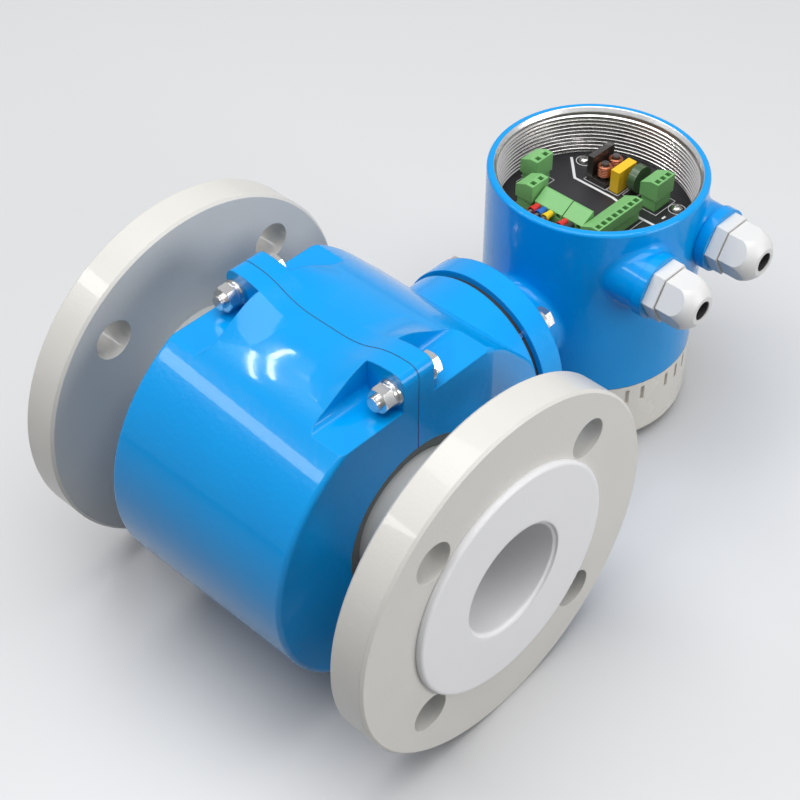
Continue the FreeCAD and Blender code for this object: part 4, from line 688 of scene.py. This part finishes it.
def add_stage():
    """The pale floor, which throws less light on the meter than its own colour would."""
    point, normal = resting_plane()
    bm = bmesh.new()
    bmesh.ops.create_grid(bm, x_segments=1, y_segments=1, size=FLOOR_REACH)
    turn = Vector((0, 0, 1)).rotation_difference(normal).to_matrix().to_4x4()
    bmesh.ops.transform(bm, matrix=Matrix.Translation(point) @ turn, verts=bm.verts)
    mesh = bpy.data.meshes.new("floor")
    bm.to_mesh(mesh)
    bm.free()
    finish = Finish("floor_white")
    surface = finish.group(SURFACE, Slow_Scale=3.0, Fine_Scale=300.0, Contrast=0.25)
    seen = finish.colours(surface.outputs["Cloud"], (0.62, 0.625, 0.63), (0.66, 0.665, 0.67))
    direct = seen_directly(finish.tree, finish.add("LightPath"))
    shown = finish.add("Mix", {"Factor": direct}, data_type="RGBA")
    shown.inputs["A"].default_value = FLOOR_BOUNCE
    finish.tree.links.new(seen, shown.inputs["B"])
    finish.feed("Base Color", shown.outputs["Result"])
    finish.feed("Roughness", 0.45)
    mesh.materials.append(finish.material)
    floor = bpy.data.objects.new("floor", mesh)
    bpy.context.scene.collection.objects.link(floor)


def add_lamp(name, place, aim, size, power, along=None):
    """A flat lamp that faces its aim, with its first side turned along a direction."""
    lamp = bpy.data.lights.new(name, "AREA")
    lamp.shape = "RECTANGLE"
    lamp.size, lamp.size_y = size
    lamp.energy = power
    light = bpy.data.objects.new(name, lamp)
    back = (Vector(place) - Vector(aim)).normalized()
    if along is None:
        turn = (-back).to_track_quat("-Z", "Y").to_matrix()
    else:
        side = Vector(along) - Vector(along).dot(back) * back
        side.normalize()
        turn = Matrix((side, back.cross(side), back)).transposed()
    light.matrix_world = Matrix.Translation(place) @ turn.to_4x4()
    bpy.context.scene.collection.objects.link(light)


def light_scene():
    """A pale world that lights little, soft lamps, and two tubes that draw bright lines on the ridge."""
    world = bpy.data.worlds.new("studio")
    world.use_nodes = True
    bpy.context.scene.world = world
    background = world.node_tree.nodes["Background"]
    background.inputs["Color"].default_value = (0.93, 0.95, 1.0, 1)
    rays = add_node(world.node_tree, "LightPath")
    direct = seen_directly(world.node_tree, rays)
    strength = add_node(world.node_tree, "MapRange",
                        {"Value": direct, "To Min": WORLD_LIGHT, "To Max": WORLD_SEEN})
    world.node_tree.links.new(strength.outputs["Result"], background.inputs["Strength"])
    add_lamp("overhead", (0.1, -0.1, 1.5), (0, 0.05, 0), (1.6, 1.6), 29)
    add_lamp("left_strip", (-0.9, -0.7, 1.0), (0, 0, 0), (0.9, 0.14), 4)
    add_lamp("right_fill", (1.5, 0.6, 0.45), (0, 0.05, 0), (0.8, 0.8), 12)
    add_lamp("first_tube", (-0.687, -0.155, 1.046), (0, -0.03, 0.07), (0.27, 0.006), 0.45,
             along=(0.006, 0.27, 0))
    add_lamp("second_tube", (-0.652, 0.035, 1.03), (0, -0.02, 0.07), (0.43, 0.006), 0.7,
             along=(0.024, 0.43, -0.06))


def add_camera():
    """A view from above, over the outlet flange and into the open terminal end."""
    place = (0.3875, -0.3709, 0.5378)
    azimuth, elevation, roll = 41.86, 43.57, 1.07
    view = (Matrix.Rotation(math.radians(azimuth), 3, "Z")
            @ Matrix.Rotation(math.radians(90 - elevation), 3, "X")
            @ Matrix.Rotation(math.radians(roll), 3, "Z"))
    camera = bpy.data.cameras.new("camera")
    camera.lens = 81.9
    camera.shift_x, camera.shift_y = -0.0398, 0.0092
    camera.clip_start, camera.clip_end = 0.01, 20
    item = bpy.data.objects.new("camera", camera)
    item.matrix_world = Matrix.Translation(place) @ view.to_4x4()
    bpy.context.scene.collection.objects.link(item)
    bpy.context.scene.camera = item


# ---------------------------------------------------------------- the whole scene

dress_nodes()
add_terminal_thread()
add_copper_windings()
add_ferrules()
add_board_print()
add_screw_recesses()
add_stud_threads()
add_joint_shade_skin()
add_seal_lips()
add_stage()
light_scene()
add_camera()
bpy.context.scene.view_settings.view_transform = "Standard"
